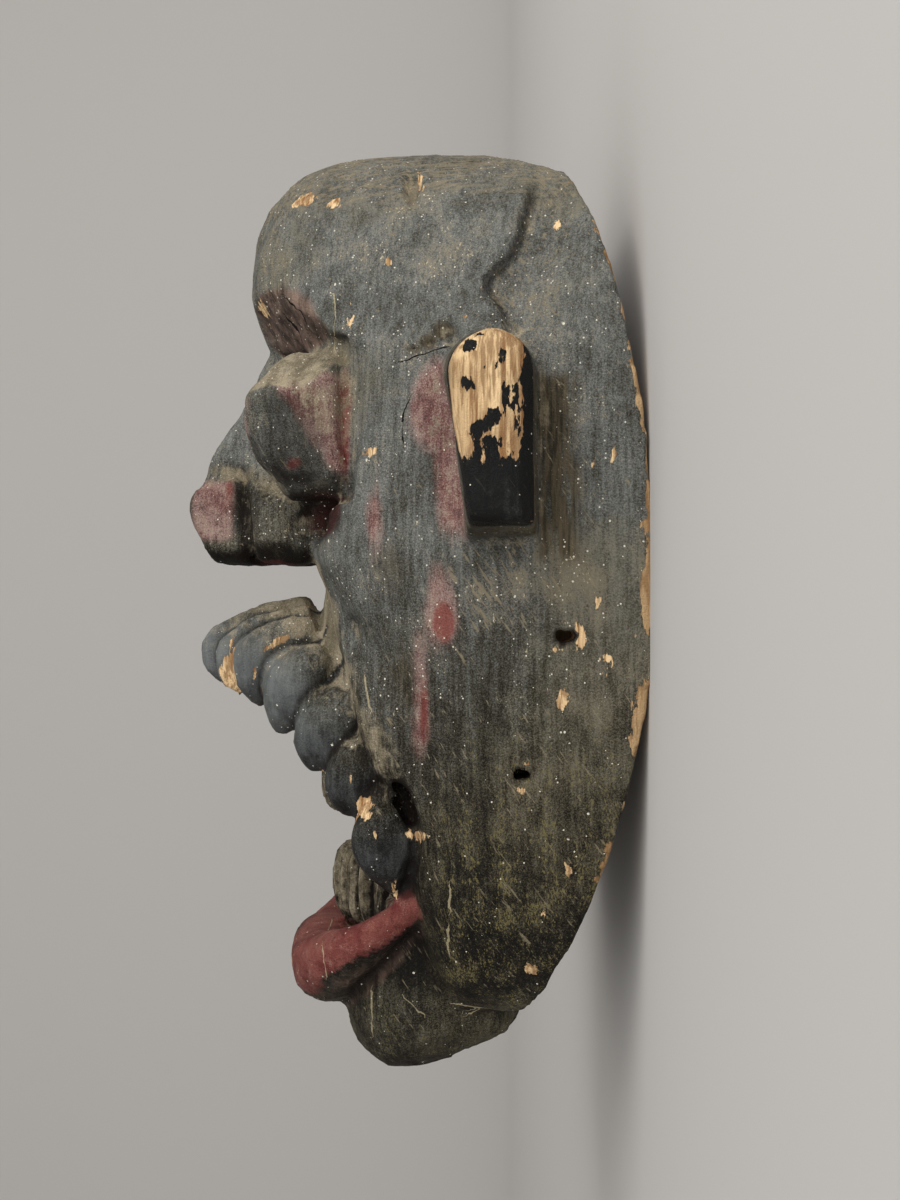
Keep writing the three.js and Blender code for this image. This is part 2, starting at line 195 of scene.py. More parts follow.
def scatter(cell, seed):
    """A repeatable number from 0 to 1 for each whole-number cell, by mixing its three indices."""
    index = cell.astype(np.int64).astype(np.uint32)
    mixed = index[..., 0] * np.uint32(374761393)
    mixed = mixed + index[..., 1] * np.uint32(668265263)
    mixed = mixed + index[..., 2] * np.uint32(2246822519)
    mixed = mixed + np.uint32(seed * 974711 + 12345)
    mixed = (mixed ^ (mixed >> np.uint32(13))) * np.uint32(1274126177)
    mixed = (mixed ^ (mixed >> np.uint32(16))) * np.uint32(2654435761)
    mixed = mixed ^ (mixed >> np.uint32(15))
    return (mixed & np.uint32(0xFFFFFF)) / float(0x1000000)


def soft_noise(points, size, seed):
    """Numbers from -1 to 1: random values at the corners of cells of a size, blended smoothly inside."""
    scaled = points / np.asarray(size, float)
    cell = np.floor(scaled)
    part = smoothstep(scaled - cell, 0, 1)
    total = np.zeros(len(points))
    for corner in np.ndindex(2, 2, 2):
        weight = np.prod(np.where(np.array(corner) == 1, part, 1 - part), axis=-1)
        total += weight * scatter(cell + np.array(corner), seed)
    return 2 * total - 1


def layered_noise(points, size, seed, layers=4):
    """Soft noise at a size and at each half of it, every layer half as strong."""
    size = np.asarray(size, float)
    return sum(soft_noise(points, size / 2**k, seed + k) / 2**k for k in range(layers)) / 1.6


def gouge_marks(points, size, seed):
    """Distance from the middle of the nearest tool mark, in mark sizes, and that mark's own number."""
    scaled = points / np.asarray(size, float)
    cell = np.floor(scaled)
    nearest = np.full(len(points), 9.0)
    own = np.zeros(len(points))
    for step in np.ndindex(3, 3, 3):
        here = cell + np.array(step) - 1
        middle = here + np.stack([scatter(here, seed + k) for k in range(3)], axis=-1)
        gap = np.linalg.norm(scaled - middle, axis=-1)
        closer = gap < nearest
        own = np.where(closer, scatter(here, seed + 3), own)
        nearest = np.where(closer, gap, nearest)
    return nearest, own


# Closed skins

def outward(points, triangles):
    """The skin with its faces turned outwards, told by the sign of its volume."""
    corners = points[triangles]
    volume = np.sum(corners[:, 0] * np.cross(corners[:, 1], corners[:, 2]))
    return points, triangles if volume > 0 else triangles[:, ::-1]


def skin(rings):
    """A closed skin over rings of points: each four neighbours make two triangles, and each end ring is
    fanned to its own middle."""
    rows, sides = rings.shape[:2]
    points = np.concatenate([rings.reshape(-1, 3), rings[:1].mean(axis=1), rings[-1:].mean(axis=1)])
    index = np.arange(rows * sides).reshape(rows, sides)
    here, there = index[:-1], index[1:]
    here_next, there_next = np.roll(here, -1, axis=1), np.roll(there, -1, axis=1)
    upper = np.stack([here, here_next, there_next], axis=-1).reshape(-1, 3)
    lower = np.stack([here, there_next, there], axis=-1).reshape(-1, 3)
    middle = np.full(sides, rows * sides)
    first = np.stack([middle, np.roll(index[0], -1), index[0]], axis=-1)
    last = np.stack([middle + 1, index[-1], np.roll(index[-1], -1)], axis=-1)
    return outward(points, np.concatenate([upper, lower, first, last]))


def mirrored(shape, nudge=(0, 0, 0)):
    """A skin reflected to the mask's right, moved a little, with its faces turned back outwards."""
    points, triangles = shape
    return points * (-1, 1, 1) + np.array(nudge, float), triangles[:, ::-1]


def gathered(shapes):
    """Several skins as one list of points and triangles."""
    starts = np.cumsum([0] + [len(points) for points, _ in shapes[:-1]])
    points = np.concatenate([points for points, _ in shapes])
    return points, np.concatenate([t + start for (_, t), start in zip(shapes, starts)])


def carried(centres, across, along, sides, power=2.0):
    """An oval profile carried along a path: centre + across cos^(2/p) + along sin^(2/p)."""
    turn = np.linspace(0, 2 * math.pi, sides, endpoint=False)
    wide = signed_power(np.cos(turn), 2 / power)[None, :, None]
    high = signed_power(np.sin(turn), 2 / power)[None, :, None]
    return skin(centres[:, None] + across[:, None] * wide + along[:, None] * high)


def boulder(at, half, power, facets=(), turn=0.0, rows=48, columns=72):
    """A rounded mass with flat cuts: along each direction its radius is the softened least of the radius of
    |x|^p + |y|^p + |z|^p = 1 and of the distances to the cutting planes; then turned about X and placed."""
    rise = np.linspace(0.03, math.pi - 0.03, rows)[:, None]
    around = np.linspace(0, 2 * math.pi, columns, endpoint=False)[None, :]
    level = np.cos(rise) * np.ones_like(around)
    ways = np.stack([np.sin(rise) * np.cos(around), level, np.sin(rise) * np.sin(around)], axis=-1)
    radius = np.sum(np.abs(ways / np.array(half, float)) ** power, axis=-1) ** (-1 / power)
    least = radius**-CUT_CRISPNESS
    for facing, distance in facets:
        towards = np.maximum(ways @ unit(np.array(facing, float)), 1e-3)
        least = least + (distance / towards) ** -CUT_CRISPNESS
    points = ways * (least ** (-1 / CUT_CRISPNESS))[..., None]
    return skin(turned(points, turn) + np.array(at, float))


def turned(points, turn):
    """Points turned about the X axis."""
    cos, sin = math.cos(turn), math.sin(turn)
    x, y, z = points[..., 0], points[..., 1], points[..., 2]
    return np.stack([x, y * cos - z * sin, y * sin + z * cos], axis=-1)


# The block and its hollow

def forehead_share(y):
    return smoothstep(y, BROW["low"], BROW["high"])


def front_height(y):
    """The plain front as a smooth curve along y, stepping out to a rounded forehead above the brow."""
    plain = curve_through(FRONT, y)[..., 0]
    up = (y - FOREHEAD["y"]) / FOREHEAD["half"]
    rounded = FOREHEAD["z"] + FOREHEAD["depth"] * remainder(up, FOREHEAD["power"])
    return blend(plain, rounded, forehead_share(y))


def rim_height(y):
    """A parabola rising from where the mask rests to crown and jaw, turned up to the forehead above."""
    above = y > RIM["rest"]
    reach = np.where(above, CROWN_Y - RIM["rest"], RIM["rest"] - JAW_Y)
    rise = np.where(above, RIM["crown_rise"], RIM["jaw_rise"])
    edge = rise * ((y - RIM["rest"]) / reach) ** 2 - RIM["sink"]
    up = np.maximum((y - FOREHEAD["y"]) / FOREHEAD["half"], 0)
    return blend(FOREHEAD["z"], edge, remainder(up, RIM["crown_turn"]))


def half_width(y):
    """Half the mask's width at a height, from one superellipse above its middle and another below."""
    from_middle = y - OUTLINE["middle"]
    above = remainder(from_middle / (CROWN_Y - OUTLINE["middle"]), OUTLINE["top_power"])
    below = remainder(from_middle / (OUTLINE["bottom"] - OUTLINE["middle"]), OUTLINE["bottom_power"])
    return RIM_HALF_WIDTH * np.where(y > OUTLINE["middle"], above, below)


def arches(y, half, base, top, power, columns):
    """One arch per height y: a superellipse over the half width whose walls lean in as they rise."""
    angle = np.linspace(0, math.pi, columns)[None, :]
    cos, sin = np.cos(angle), np.maximum(np.sin(angle), 0)
    power = np.broadcast_to(power, y.shape)[:, None]
    radius = (np.abs(cos) ** power + sin**power) ** (-1 / power)
    base, top, half = base[:, None], top[:, None], half[:, None]
    z = base + (top - base) * radius * sin
    x = half * (1 - WALL_LEAN * (z - base) / RIM_HALF_WIDTH) * radius * cos
    return np.stack([x, np.broadcast_to(y[:, None], x.shape), z], axis=-1)


def block():
    """The mask's block: arches from crown to jaw, the brow drooping to the sides by the square of the
    distance from the middle, the front sunk round each eye to the underside of a rounded mass, and the brow
    cut back under its edge to a slanting plane on each side."""
    share = np.linspace(0, 1, 180)
    y = CROWN_Y - (CROWN_Y - JAW_Y) * share**1.6
    base = rim_height(y)
    top = np.maximum(front_height(y), base + 0.5)
    power = blend(ARCH_POWER["face"], ARCH_POWER["forehead"], forehead_share(y))
    rings = arches(y, np.maximum(half_width(y), 0.5), base, top, power, 151)
    risen = smoothstep((rings[..., 2] - base[:, None]) / (top - base)[:, None], 0, 1)
    droop = DROOP["depth"] * smoothstep(y, DROOP["start"], DROOP["full"])
    droop = droop * (1 - smoothstep(y, DROOP["full"], DROOP["end"]))
    rings[..., 1] -= droop[:, None] * risen * (rings[..., 0] / DROOP["half_width"]) ** 2
    at, half, socket_power = EYE_SOCKET["at"], EYE_SOCKET["half"], EYE_SOCKET["power"]
    away = np.abs((np.abs(rings[..., 0]) - at[0]) / half[0]) ** socket_power
    away = away + np.abs((rings[..., 1] - at[1]) / half[1]) ** socket_power
    sunk = at[2] - half[2] * np.maximum(1 - away, 0) ** (1 / socket_power)
    rings[..., 2] = np.where(away < 1, np.minimum(rings[..., 2], sunk), rings[..., 2])
    facing, edge_point = unit(np.array(BROW_CUT["facing"])), BROW_CUT["through"]
    across = facing[0] * (np.abs(rings[..., 0]) - edge_point[0]) + facing[1] * (rings[..., 1] - edge_point[1])
    under = edge_point[2] - across / facing[2]
    cut_here = (rings[..., 1] > BROW["low"]) & (rings[..., 2] > under)
    rings[..., 2] = np.where(cut_here, np.maximum(under, at[2] - half[2]), rings[..., 2])
    return skin(rings)


def hollow():
    """The hollow behind: arches under a roof curve, with the round dents of a gouge pushed into them."""
    rise = np.cos(np.linspace(0, math.pi, 84)) * HOLLOW_ENDS["rings"]
    y = blend(HOLLOW["bottom"], HOLLOW["top"], (rise + 1) / 2)
    half = HOLLOW["half_width"] * remainder(rise, HOLLOW["power"])
    base = np.full_like(y, HOLLOW["floor"])
    rings = arches(y, half, base, curve_through(HOLLOW_ROOF, y)[..., 0], HOLLOW["arch"], 75)
    points = rings.reshape(-1, 3)
    dent, own = gouge_marks(points, HOLLOW_DENTS["size"], HOLLOW_DENTS["seed"])
    middle = np.array([0, 10, 0])
    depth = HOLLOW_DENTS["depth"] * (1 - np.minimum(dent, 1) ** 2)
    depth = depth * blend(HOLLOW_DENTS["shallowest"], 1, own) - HOLLOW_DENTS["lift"]
    points = points + unit(points - middle) * (depth * smoothstep(points[:, 2], 0, 30))[:, None]
    return skin(points.reshape(rings.shape))


# Carved features

def level_sections(stations, rows, sides, power):
    """Level ovals through stations (y, half width, front z, back z), smoothed between them."""
    table = np.array(stations, float)
    y = np.linspace(table[0, 0], table[-1, 0], rows)
    half, front, back = curve_through(stations, y).T
    zero = np.zeros_like(y)
    centres = np.stack([zero, y, (front + back) / 2], axis=-1)
    across = np.stack([half, zero, zero], axis=-1)
    along = np.stack([zero, zero, (front - back) / 2], axis=-1)
    return carried(centres, across, along, sides, power)


def nose_ridge():
    """Level ovals down the nose, their backs sunk in the face."""
    return level_sections([(y, half, front, NOSE_BACK) for y, front, half in NOSE], 60, 48, 2.6)


def lock_path(root, belly, tip, share):
    """Points and directions of a curve bent from root to tip towards a belly point (a quadratic Bezier)."""
    root, belly, tip = (np.array(p, float) for p in (root, belly, tip))
    share = share[:, None]
    point = root * (1 - share) ** 2 + belly * 2 * share * (1 - share) + tip * share**2
    way = unit((belly - root) * (1 - share) + (tip - belly) * share)
    middle = root / 4 + belly / 2 + tip / 4
    wide = np.array([middle[2] - HOOD["axis_z"], 0, -middle[0]])
    wide = unit(wide - way * (way @ wide)[:, None])
    return point, wide, unit(np.cross(way, wide))


def lock_fullness(share, bluntness):
    """How full a lock is along its length: a blunted sine that swells late."""
    phase = blend(LOCK_SWELL["start"], LOCK_SWELL["end"], share ** LOCK_SWELL["late"])
    return np.sin(math.pi * phase) ** bluntness


def lock(root, belly, tip, half, bluntness):
    """A lock of the moustache: an oval carried along its path, as full as the lock is there."""
    share = np.linspace(0, 1, 44)
    point, wide, thick = lock_path(root, belly, tip, share)
    full = lock_fullness(share, bluntness)[:, None]
    point = point + thick * (LOCK_REACH - LOCK_THICK) * full
    return carried(point, wide * half * full, thick * LOCK_THICK * full, 28, 2.2)


def hood():
    """What carries the locks: one section under each lock, closed along its chord, from left to right."""
    sections = []
    for root, belly, tip, _ in LOCKS:
        point, _, thick = lock_path(root, belly, tip, np.linspace(0, 1, 24))
        under = point - thick * HOOD["sink"]
        inner = [under[0, 0] * HOOD["inward"], (under[0, 1] + under[-1, 1]) / 2, HOOD["axis_z"]]
        back = under[0] - np.array([0, 0, HOOD["back"]])
        sections.append(np.concatenate([under, [inner, back]]))
    left = np.array(sections)
    return skin(np.concatenate([left[::-1], left * (-1, 1, 1)]))


def cheek_fold():
    """The swelling that joins the moustache to the side of the face: a round carried along a line."""
    y = np.linspace(CHEEK_FOLD[0][0], CHEEK_FOLD[-1][0], 40)
    x, z, radius = curve_through(CHEEK_FOLD, y).T
    across = np.stack([radius, 0 * y, 0 * y], axis=-1)
    along = np.stack([0 * y, 0.3 * radius, radius], axis=-1)
    return carried(np.stack([x, y, z], axis=-1), across, along, 32)


def teeth():
    """Two rows of square-shouldered bars set round an arc: each bar is swung about Y to its own angle."""
    bars = []
    for y, z in TOOTH_ROWS:
        at = (0, y, TEETH["reach"])
        for angle in np.linspace(-TEETH["spread"], TEETH["spread"], TEETH["per_row"]):
            points, triangles = boulder(at, TEETH["half"], TEETH["power"], rows=24, columns=32)
            cos, sin = math.cos(angle), math.sin(angle)
            across, level, forward = points.T
            swung = np.stack([across * cos + forward * sin, level, forward * cos - across * sin], axis=-1)
            bars.append((swung + np.array([0, 0, z]), triangles))
    return bars


def lip_path(share):
    """The lip's line from corner to corner of the mouth, half a superellipse that dips and comes forward;
    also which way is outwards there, and half the lip's thickness and height."""
    angle = math.pi * share
    reach = np.sin(angle)
    corner = LIP["corner"]
    x = corner[0] * signed_power(np.cos(angle), LIP["squareness"])
    y = blend(corner[1], LIP["front_y"], reach)
    z = blend(corner[2], LIP["front_z"], reach)
    outwards = unit(np.stack([np.cos(angle), 0 * reach, reach], axis=-1))
    thick = blend(*LIP_HALF_THICK, reach)
    high = blend(*LIP_HALF_HEIGHT, reach**2)
    return np.stack([x, y, z], axis=-1), outwards, thick, high


def lower_lip():
    """An oval carried along the lip's line, growing towards the front."""
    centres, outwards, thick, high = lip_path(np.linspace(0, 1, 90))
    upwards = np.array([0.0, 1.0, 0.0]) + outwards * 0.12
    return carried(centres, outwards * thick[:, None], unit(upwards) * high[:, None], 40, 2.35)


def ear():
    """An ear: its outline in (z, y), with a round head and a narrower foot, carried along X, drawn in towards
    its outer face, rounded over at its edge and cut back along a slanting plane behind."""
    depth = (EAR["front"] - EAR["back"]) / 2
    middle_z = EAR["back"] + depth
    middle_y = (EAR["top"] + EAR["bottom"]) / 2
    head = EAR["top"] - depth
    arc = np.linspace(0, math.pi, 30)
    front = EAR["front"] - EAR["neck"]
    corners = np.concatenate([
        [(EAR["back"], EAR["bottom"]), (front, EAR["bottom"])],
        np.stack([middle_z + depth * np.cos(arc), head + depth * np.sin(arc)], axis=-1),
        [(EAR["back"], EAR["bottom"])],
    ])
    length = np.concatenate([[0], np.cumsum(np.linalg.norm(np.diff(corners, axis=0), axis=1))])
    even = np.linspace(0, length[-1], 120, endpoint=False)
    outline = np.stack([np.interp(even, length, corners[:, k]) for k in range(2)], axis=-1)
    out = np.concatenate([np.linspace(0, 0.93, 30), np.linspace(0.935, 1, 9)])
    x = blend(EAR["root"], EAR["outer"], out)
    over = np.clip((x - (EAR["outer"] - EAR_BEVEL)) / EAR_BEVEL, 0, 1)
    draw = blend(1 / EAR_TAPER, 1, out) * (1 - EAR_BEVEL / depth * (1 - remainder(over, 2)))
    z = middle_z + (outline[None, :, 0] - middle_z) * draw[:, None]
    y = middle_y + (outline[None, :, 1] - middle_y) * draw[:, None]
    cut_back = EAR["outer"] - EAR_BACK_CUT["slope"] * np.maximum(EAR_BACK_CUT["z"] - z, 0)
    return skin(np.stack([np.minimum(x[:, None], cut_back), y, z], axis=-1))


def tie_hole(y, z, radius):
    """A hole bored through the side wall: a slightly uneven circle carried along X."""
    turn = np.linspace(0, 2 * math.pi, 20, endpoint=False)
    uneven = radius * (1.1 + 0.3 * np.cos(2 * turn) + 0.12 * np.sin(3 * turn + y))
    x = np.linspace(*BORE_SPAN, 6)[:, None] * np.ones_like(turn)
    return skin(np.stack([x, y + uneven * np.sin(turn) + 0 * x, z + uneven * np.cos(turn) + 0 * x], axis=-1))


def slab():
    """What lies under the floor, cut away so that the rim's two flat spots rest on it."""
    wide, length, depth = SLAB["half_width"], SLAB["half_length"], SLAB["depth"]
    x = np.array([-wide, wide, wide, -wide])
    z = np.array([-depth, -depth, 0.0, 0.0])
    y = np.array([-length, length])
    return skin(np.stack([np.tile(x, (2, 1)), np.tile(y[:, None], (1, 4)), np.tile(z, (2, 1))], axis=-1))


# Joining, cutting and smoothing

def mesh_of(name, points, triangles):
    """Points and triangles put into a new mesh."""
    mesh = bpy.data.meshes.new(name)
    mesh.vertices.add(len(points))
    mesh.vertices.foreach_set("co", points.astype(np.float32).ravel())
    mesh.loops.add(triangles.size)
    mesh.loops.foreach_set("vertex_index", triangles.astype(np.int32).ravel())
    mesh.polygons.add(len(triangles))
    mesh.polygons.foreach_set("loop_start", np.arange(0, triangles.size, 3, dtype=np.int32))
    mesh.update(calc_edges=True)
    return mesh


def placed(name, mesh):
    """A mesh as an object of the scene."""
    thing = bpy.data.objects.new(name, mesh)
    bpy.context.scene.collection.objects.link(thing)
    return thing


def finished_mesh(thing):
    """The object's mesh with its modifiers applied; the object and its rough mesh are removed."""
    depsgraph = bpy.context.evaluated_depsgraph_get()
    made = bpy.data.meshes.new_from_object(thing.evaluated_get(depsgraph))
    rough = thing.data
    bpy.data.objects.remove(thing)
    bpy.data.meshes.remove(rough)
    return made


def merged(mesh, step):
    """One even skin round everything in the mesh."""
    thing = placed("rough_block", mesh)
    remesh = thing.modifiers.new("merge", "REMESH")
    remesh.mode = "VOXEL"
    remesh.voxel_size = step
    return finished_mesh(thing)


def cut(mesh, cutters):
    """The mesh with each cutter's skin taken away in turn."""
    thing = placed("cut_block", mesh)
    tools = []
    for number, (points, triangles) in enumerate(cutters):
        tool = placed(f"tool_{number}", mesh_of("tool", points, triangles))
        difference = thing.modifiers.new("cut", "BOOLEAN")
        difference.operation = "DIFFERENCE"
        difference.solver = "MANIFOLD"
        difference.object = tool
        tools.append(tool)
    made = finished_mesh(thing)
    for tool in tools:
        tool_mesh = tool.data
        bpy.data.objects.remove(tool)
        bpy.data.meshes.remove(tool_mesh)
    return made


def thinned(mesh):
    """The mesh with its flattest faces joined until it has no more than the wanted number of triangles."""
    mesh.calc_loop_triangles()
    count = len(mesh.loop_triangles)
    thing = placed("thinned_block", mesh)
    decimate = thing.modifiers.new("thin", "DECIMATE")
    decimate.ratio = min(1.0, MOST_TRIANGLES / count)
    return finished_mesh(thing)


def numbers_of(items, name, width=1, kind=np.int32):
    """What each item of a mesh keeps under a name: one number, or a row of them."""
    numbers = np.empty(len(items) * width, kind)
    items.foreach_get(name, numbers)
    return numbers.reshape(-1, width) if width > 1 else numbers


def points_of(mesh):
    return numbers_of(mesh.vertices, "co", 3, np.float32).astype(float)


def normals_of(mesh):
    return numbers_of(mesh.vertex_normals, "vector", 3, np.float32).astype(float)


def edges_of(mesh):
    return numbers_of(mesh.edges, "vertices", 2)


def neighbour_mean(values, edges):
    """The mean of each point's neighbours along the mesh's edges."""
    count = len(values)
    columns = values.reshape(count, -1)
    total = np.empty_like(columns)
    for k in range(columns.shape[1]):
        total[:, k] = np.bincount(edges[:, 0], columns[edges[:, 1], k], count)
        total[:, k] += np.bincount(edges[:, 1], columns[edges[:, 0], k], count)
    degree = np.bincount(edges.ravel(), minlength=count)[:, None]
    return (total / np.maximum(degree, 1)).reshape(values.shape)


def relaxed(values, edges, rounds, share=0.5):
    """Values drawn towards the mean of their neighbours, a share of the way each round."""
    for _ in range(rounds):
        values = blend(values, neighbour_mean(values, edges), share)
    return values


def move_points(mesh, points):
    mesh.vertices.foreach_set("co", points.astype(np.float32).ravel())
    mesh.update()


# Places and lines on the carving, as fields in millimetres

def patch(points, at, half):
    """How far inside an oval patch each point lies, in millimetres, and below nothing outside it."""
    half = np.array(half, float)
    return (1 - np.linalg.norm((points - np.array(at, float)) / half, axis=-1)) * half.min()


def patches(points, marks):
    """The most of several patches at each point."""
    return np.max([patch(points, at, half) for at, half in marks], axis=0)


def line_offset(points, path):
    """Signed distance to a line given in (y, z) as seen from the side, and distance with its ends counted."""
    path = np.array(path, float)
    flat = points[:, 1:]
    nearest = np.full(len(points), 1e3)
    signed = np.full(len(points), 1e3)
    for start, end in zip(path[:-1], path[1:]):
        along = end - start
        share = np.clip((flat - start) @ along / (along @ along), 0, 1)
        gap = flat - start - share[:, None] * along
        distance = np.linalg.norm(gap, axis=1)
        side = np.sign(along[0] * (flat[:, 1] - start[1]) - along[1] * (flat[:, 0] - start[0]))
        closer = distance < nearest
        signed = np.where(closer, distance * side, signed)
        nearest = np.where(closer, distance, nearest)
    return signed, nearest


def nearness_to_locks(points):
    """How far inside the nearest lock each point lies, how much further than inside the next one, and how far
    along that lock."""
    share = np.linspace(0, 1, 25)
    left = folded(points)
    best = np.full(len(points), -1e3)
    second = best.copy()
    along = np.zeros(len(points))
    mirror = np.array([-1, 1, 1])
    across_middle = [(*(mirror * place for place in LOCKS[0][:3]), LOCKS[0][3])]
    forms = zip(LOCKS + across_middle, LOCK_BLUNTNESS + LOCK_BLUNTNESS[:1])
    for (root, belly, tip, half), bluntness in forms:
        path, _, _ = lock_path(root, belly, tip, share)
        reach = half * lock_fullness(share, bluntness) + LOCK_MARGIN
        gaps = np.stack([np.linalg.norm(left - here, axis=1) - r for here, r in zip(path, reach)])
        inside = -gaps.min(axis=0)
        better = inside > best
        second = np.where(better, best, np.maximum(second, inside))
        along = np.where(better, share[gaps.argmin(axis=0)], along)
        best = np.where(better, inside, best)
    return best, best - second, along


def between_teeth(points):
    """How near each point is to a gap between two teeth, from 0 to 1, by its angle round its row's arc."""
    x, y, z = points.T
    (upper_y, upper_z), (lower_y, lower_z) = TOOTH_ROWS
    in_upper = y > (upper_y + lower_y) / 2
    row_y = np.where(in_upper, upper_y, lower_y)
    forward = z - np.where(in_upper, upper_z, lower_z)
    swing = np.arctan2(x, np.maximum(forward, 1)) / TEETH["spread"]
    tooth = (swing + 1) / 2 * (TEETH["per_row"] - 1)
    gap = smoothstep(np.abs(tooth - np.round(tooth)), 0.28, 0.48) * (np.abs(swing) < 1.1)
    reach = TEETH["reach"] + TEETH["half"][2] - np.hypot(x, forward)
    on_row = smoothstep(TEETH["half"][1] - np.abs(y - row_y), -1, 3) * smoothstep(9 - np.abs(reach), 0, 3)
    return gap * on_row * (forward > 4)


# Relief that tools and years left, as moves in millimetres
TEMPLE_LINE = [
    (136, 29), (119.7, 32.9), (107.5, 36.2), (103, 38.2), (99.4, 42),
    (96, 45.2), (91.8, 45.6), (87.5, 42.5), (78, 38),
]
CROWN_SLOPE = {"y": 145.2, "z": 54, "fall": 0.44}
CROWN_NICK = {"at": (45, 127, 67), "half": (14, 7.5, 3.2)}
GOUGED_PATCHES = [
    ((68, 80, 57), (14, 4.0, 4.6)), ((68, 77.4, 61), (14, 3.4, 4.6)), ((68, 75.4, 65.5), (14, 2.2, 4.4)),
]
# Broad unevenness: strength, size and seed
UNEVENNESS = [(0.8, 58, 11), (0.4, 19, 12), (0.2, 7, 13)]
# Tool marks all over, on the crown and on chiselled parts: size, seed, how dished each is and how they step
TOOL_MARKS = [((12, 27, 12), 21, 0.6, 0.4), ((9, 6, 34), 31, 0.6, 0.6), ((8, 10, 8), 41, 0.8, 0.5)]
# Grooves seen from the side, in (y, z): line, width, depth, and the band of distances from the middle
GROOVES = [
    ([(18, 119), (30, 121), (44, 122)], 2.0, 2.6, (5, 40)),
    ([(46, 138), (45, 128), (42, 116), (38, 106)], 2.6, 1.8, (5, 40)),
    ([(79, 88), (66, 86), (48, 85.5), (34, 86.5)], 2.0, 2.8, (40, 72)),
    ([(-5, 84), (-22, 80), (-40, 75), (-56, 71)], 2.6, 1.6, (40, 72)),
    ([(-66, 65), (-72, 65), (-78, 66.6), (-84, 69)], 1.6, 1.2, (42, 80)),
]


def relief(points, normals):
    """Moves for each point: broad unevenness, scooped tool marks (deeper towards the middle of each mark),
    the step behind the forehead, grooves as bell curves across their lines, gaps between the teeth, dished
    tie holes, and the crown cut down to a plane that falls towards the rim."""
    x, y, z = points.T
    side = np.abs(x)
    ragged = layered_noise(points, 11, 15)
    push = sum(strength * soft_noise(points, size, seed) for strength, size, seed in UNEVENNESS)
    crown = smoothstep(y, 116, 134)
    chiselled = np.maximum(smoothstep(-y, 96, 120), smoothstep(z, 96, 106))
    for where, (size, seed, dish, step) in zip((1, crown, chiselled), TOOL_MARKS):
        gap, own = gouge_marks(points, size, seed)
        push += where * (dish * (gap**2 - 0.4) + step * (own - 0.5))
    moved = points + normals * push[:, None]

    wall = smoothstep(side, 34, 48) * smoothstep(y, 72, 84) * (1 - smoothstep(y, 116, 132))
    offset, _ = line_offset(points, TEMPLE_LINE)
    offset = offset + 2.2 * layered_noise(points, 17, 16)
    fade = 1 - smoothstep(offset, 3, 30)
    sunk = 3.8 * smoothstep(offset, -0.9, 1.1) * fade * wall * smoothstep(z, 8, 24)
    sunk += 2.2 * smoothstep(patches(points, GOUGED_PATCHES) + 2.2 * ragged, 0, 2.2)
    sunk += 2.4 * smoothstep(patch(points, **CROWN_NICK) + 2.4 * ragged, 0, 2.4)
    for line, width, depth, (inner, outer) in GROOVES:
        _, gap = line_offset(points, line)
        band = smoothstep(side, inner, inner + 5) * (1 - smoothstep(side, outer - 5, outer))
        sunk += depth * bell(gap, width) * band
    sunk += 1.7 * between_teeth(points)
    for hole_y, hole_z, radius in TIE_HOLES:
        gap = np.hypot(y - hole_y, z - hole_z) + 0.8 * ragged
        sunk += 1.2 * bell(gap, radius + 1.2) * (side > 55)
    moved = moved - normals * sunk[:, None]
    crown_limit = CROWN_SLOPE["y"] - CROWN_SLOPE["fall"] * np.maximum(CROWN_SLOPE["z"] - z, 0) + 0.5 * push
    moved[:, 1] = np.minimum(moved[:, 1], crown_limit)
    return moved


# Where the paint is worn, red, dusty or dirty, and where shade is painted

# Chips down to the wood: middle and half sizes
BARE_SPOTS = [
    ((57, 103, 73), (14, 1.7, 1.7)), ((55, 84, 85), (14, 3.2, 1.7)), ((56, 90, 84), (14, 2.0, 1.1)),
    ((62, 46, 78), (14, 2.0, 2.4)), ((80, -25, 23.6), (9, 3.6, 2.4)), ((83, -16.5, 12), (9, 4.2, 2.0)),
    ((82, 42, 16), (9, 3.0, 1.8)), ((83, 43, 10), (9, 3.2, 1.8)), ((71, -85.6, 28), (12, 2.4, 2.0)),
    ((76, -72.4, 22), (12, 3.0, 1.8)), ((62, -104, 32), (14, 2.2, 2.2)), ((17, -21.5, 124), (10, 8.5, 4.6)),
    ((37, -51, 92.5), (9, 8.5, 2.8)), ((47, -50, 84.5), (8, 3.2, 1.8)), ((51, -58, 80), (8, 4.2, 3.2)),
    ((52, -66, 76), (8, 2.0, 1.6)), ((50, -81, 72), (8, 4.5, 1.8)), ((58, -66, 65), (12, 1.9, 4.4)),
    ((7, -113, 104), (9, 3.2, 3.0)), ((30, 126, 100), (12, 2.2, 5)), ((36, 124, 90), (10, 2.6, 2.6)),
    ((18, 98, 113), (9, 6.5, 2.6)), ((60, 84, 52), (14, 0.9, 2.0)), ((45, 129, 64), (12, 3.6, 1.5)),
    ((58, 111, 24), (14, 3.0, 1.4)), ((66, 100, 20), (14, 2.6, 1.2)), ((84, 3, 14), (9, 3.6, 1.3)),
    ((84, -7.5, 18.6), (9, 3.4, 1.7)), ((84, -10.8, 25.6), (9, 1.5, 2.8)), ((84, -3.4, 22.6), (9, 1.0, 2.4)),
    ((80, -50.4, 35), (9, 1.2, 2.2)), ((80, -42.8, 33.4), (9, 0.9, 1.5)),
    ((-60, 92, 60), (14, 2.4, 3)), ((-70, -30, 40), (14, 3.4, 2)), ((-64, 20, 70), (14, 2, 2.4)),
    ((-40, -51, 90), (8, 6, 3)), ((-18, -20, 122), (9, 6, 5)), ((-54, -66, 76), (8, 5, 2.4)),
]
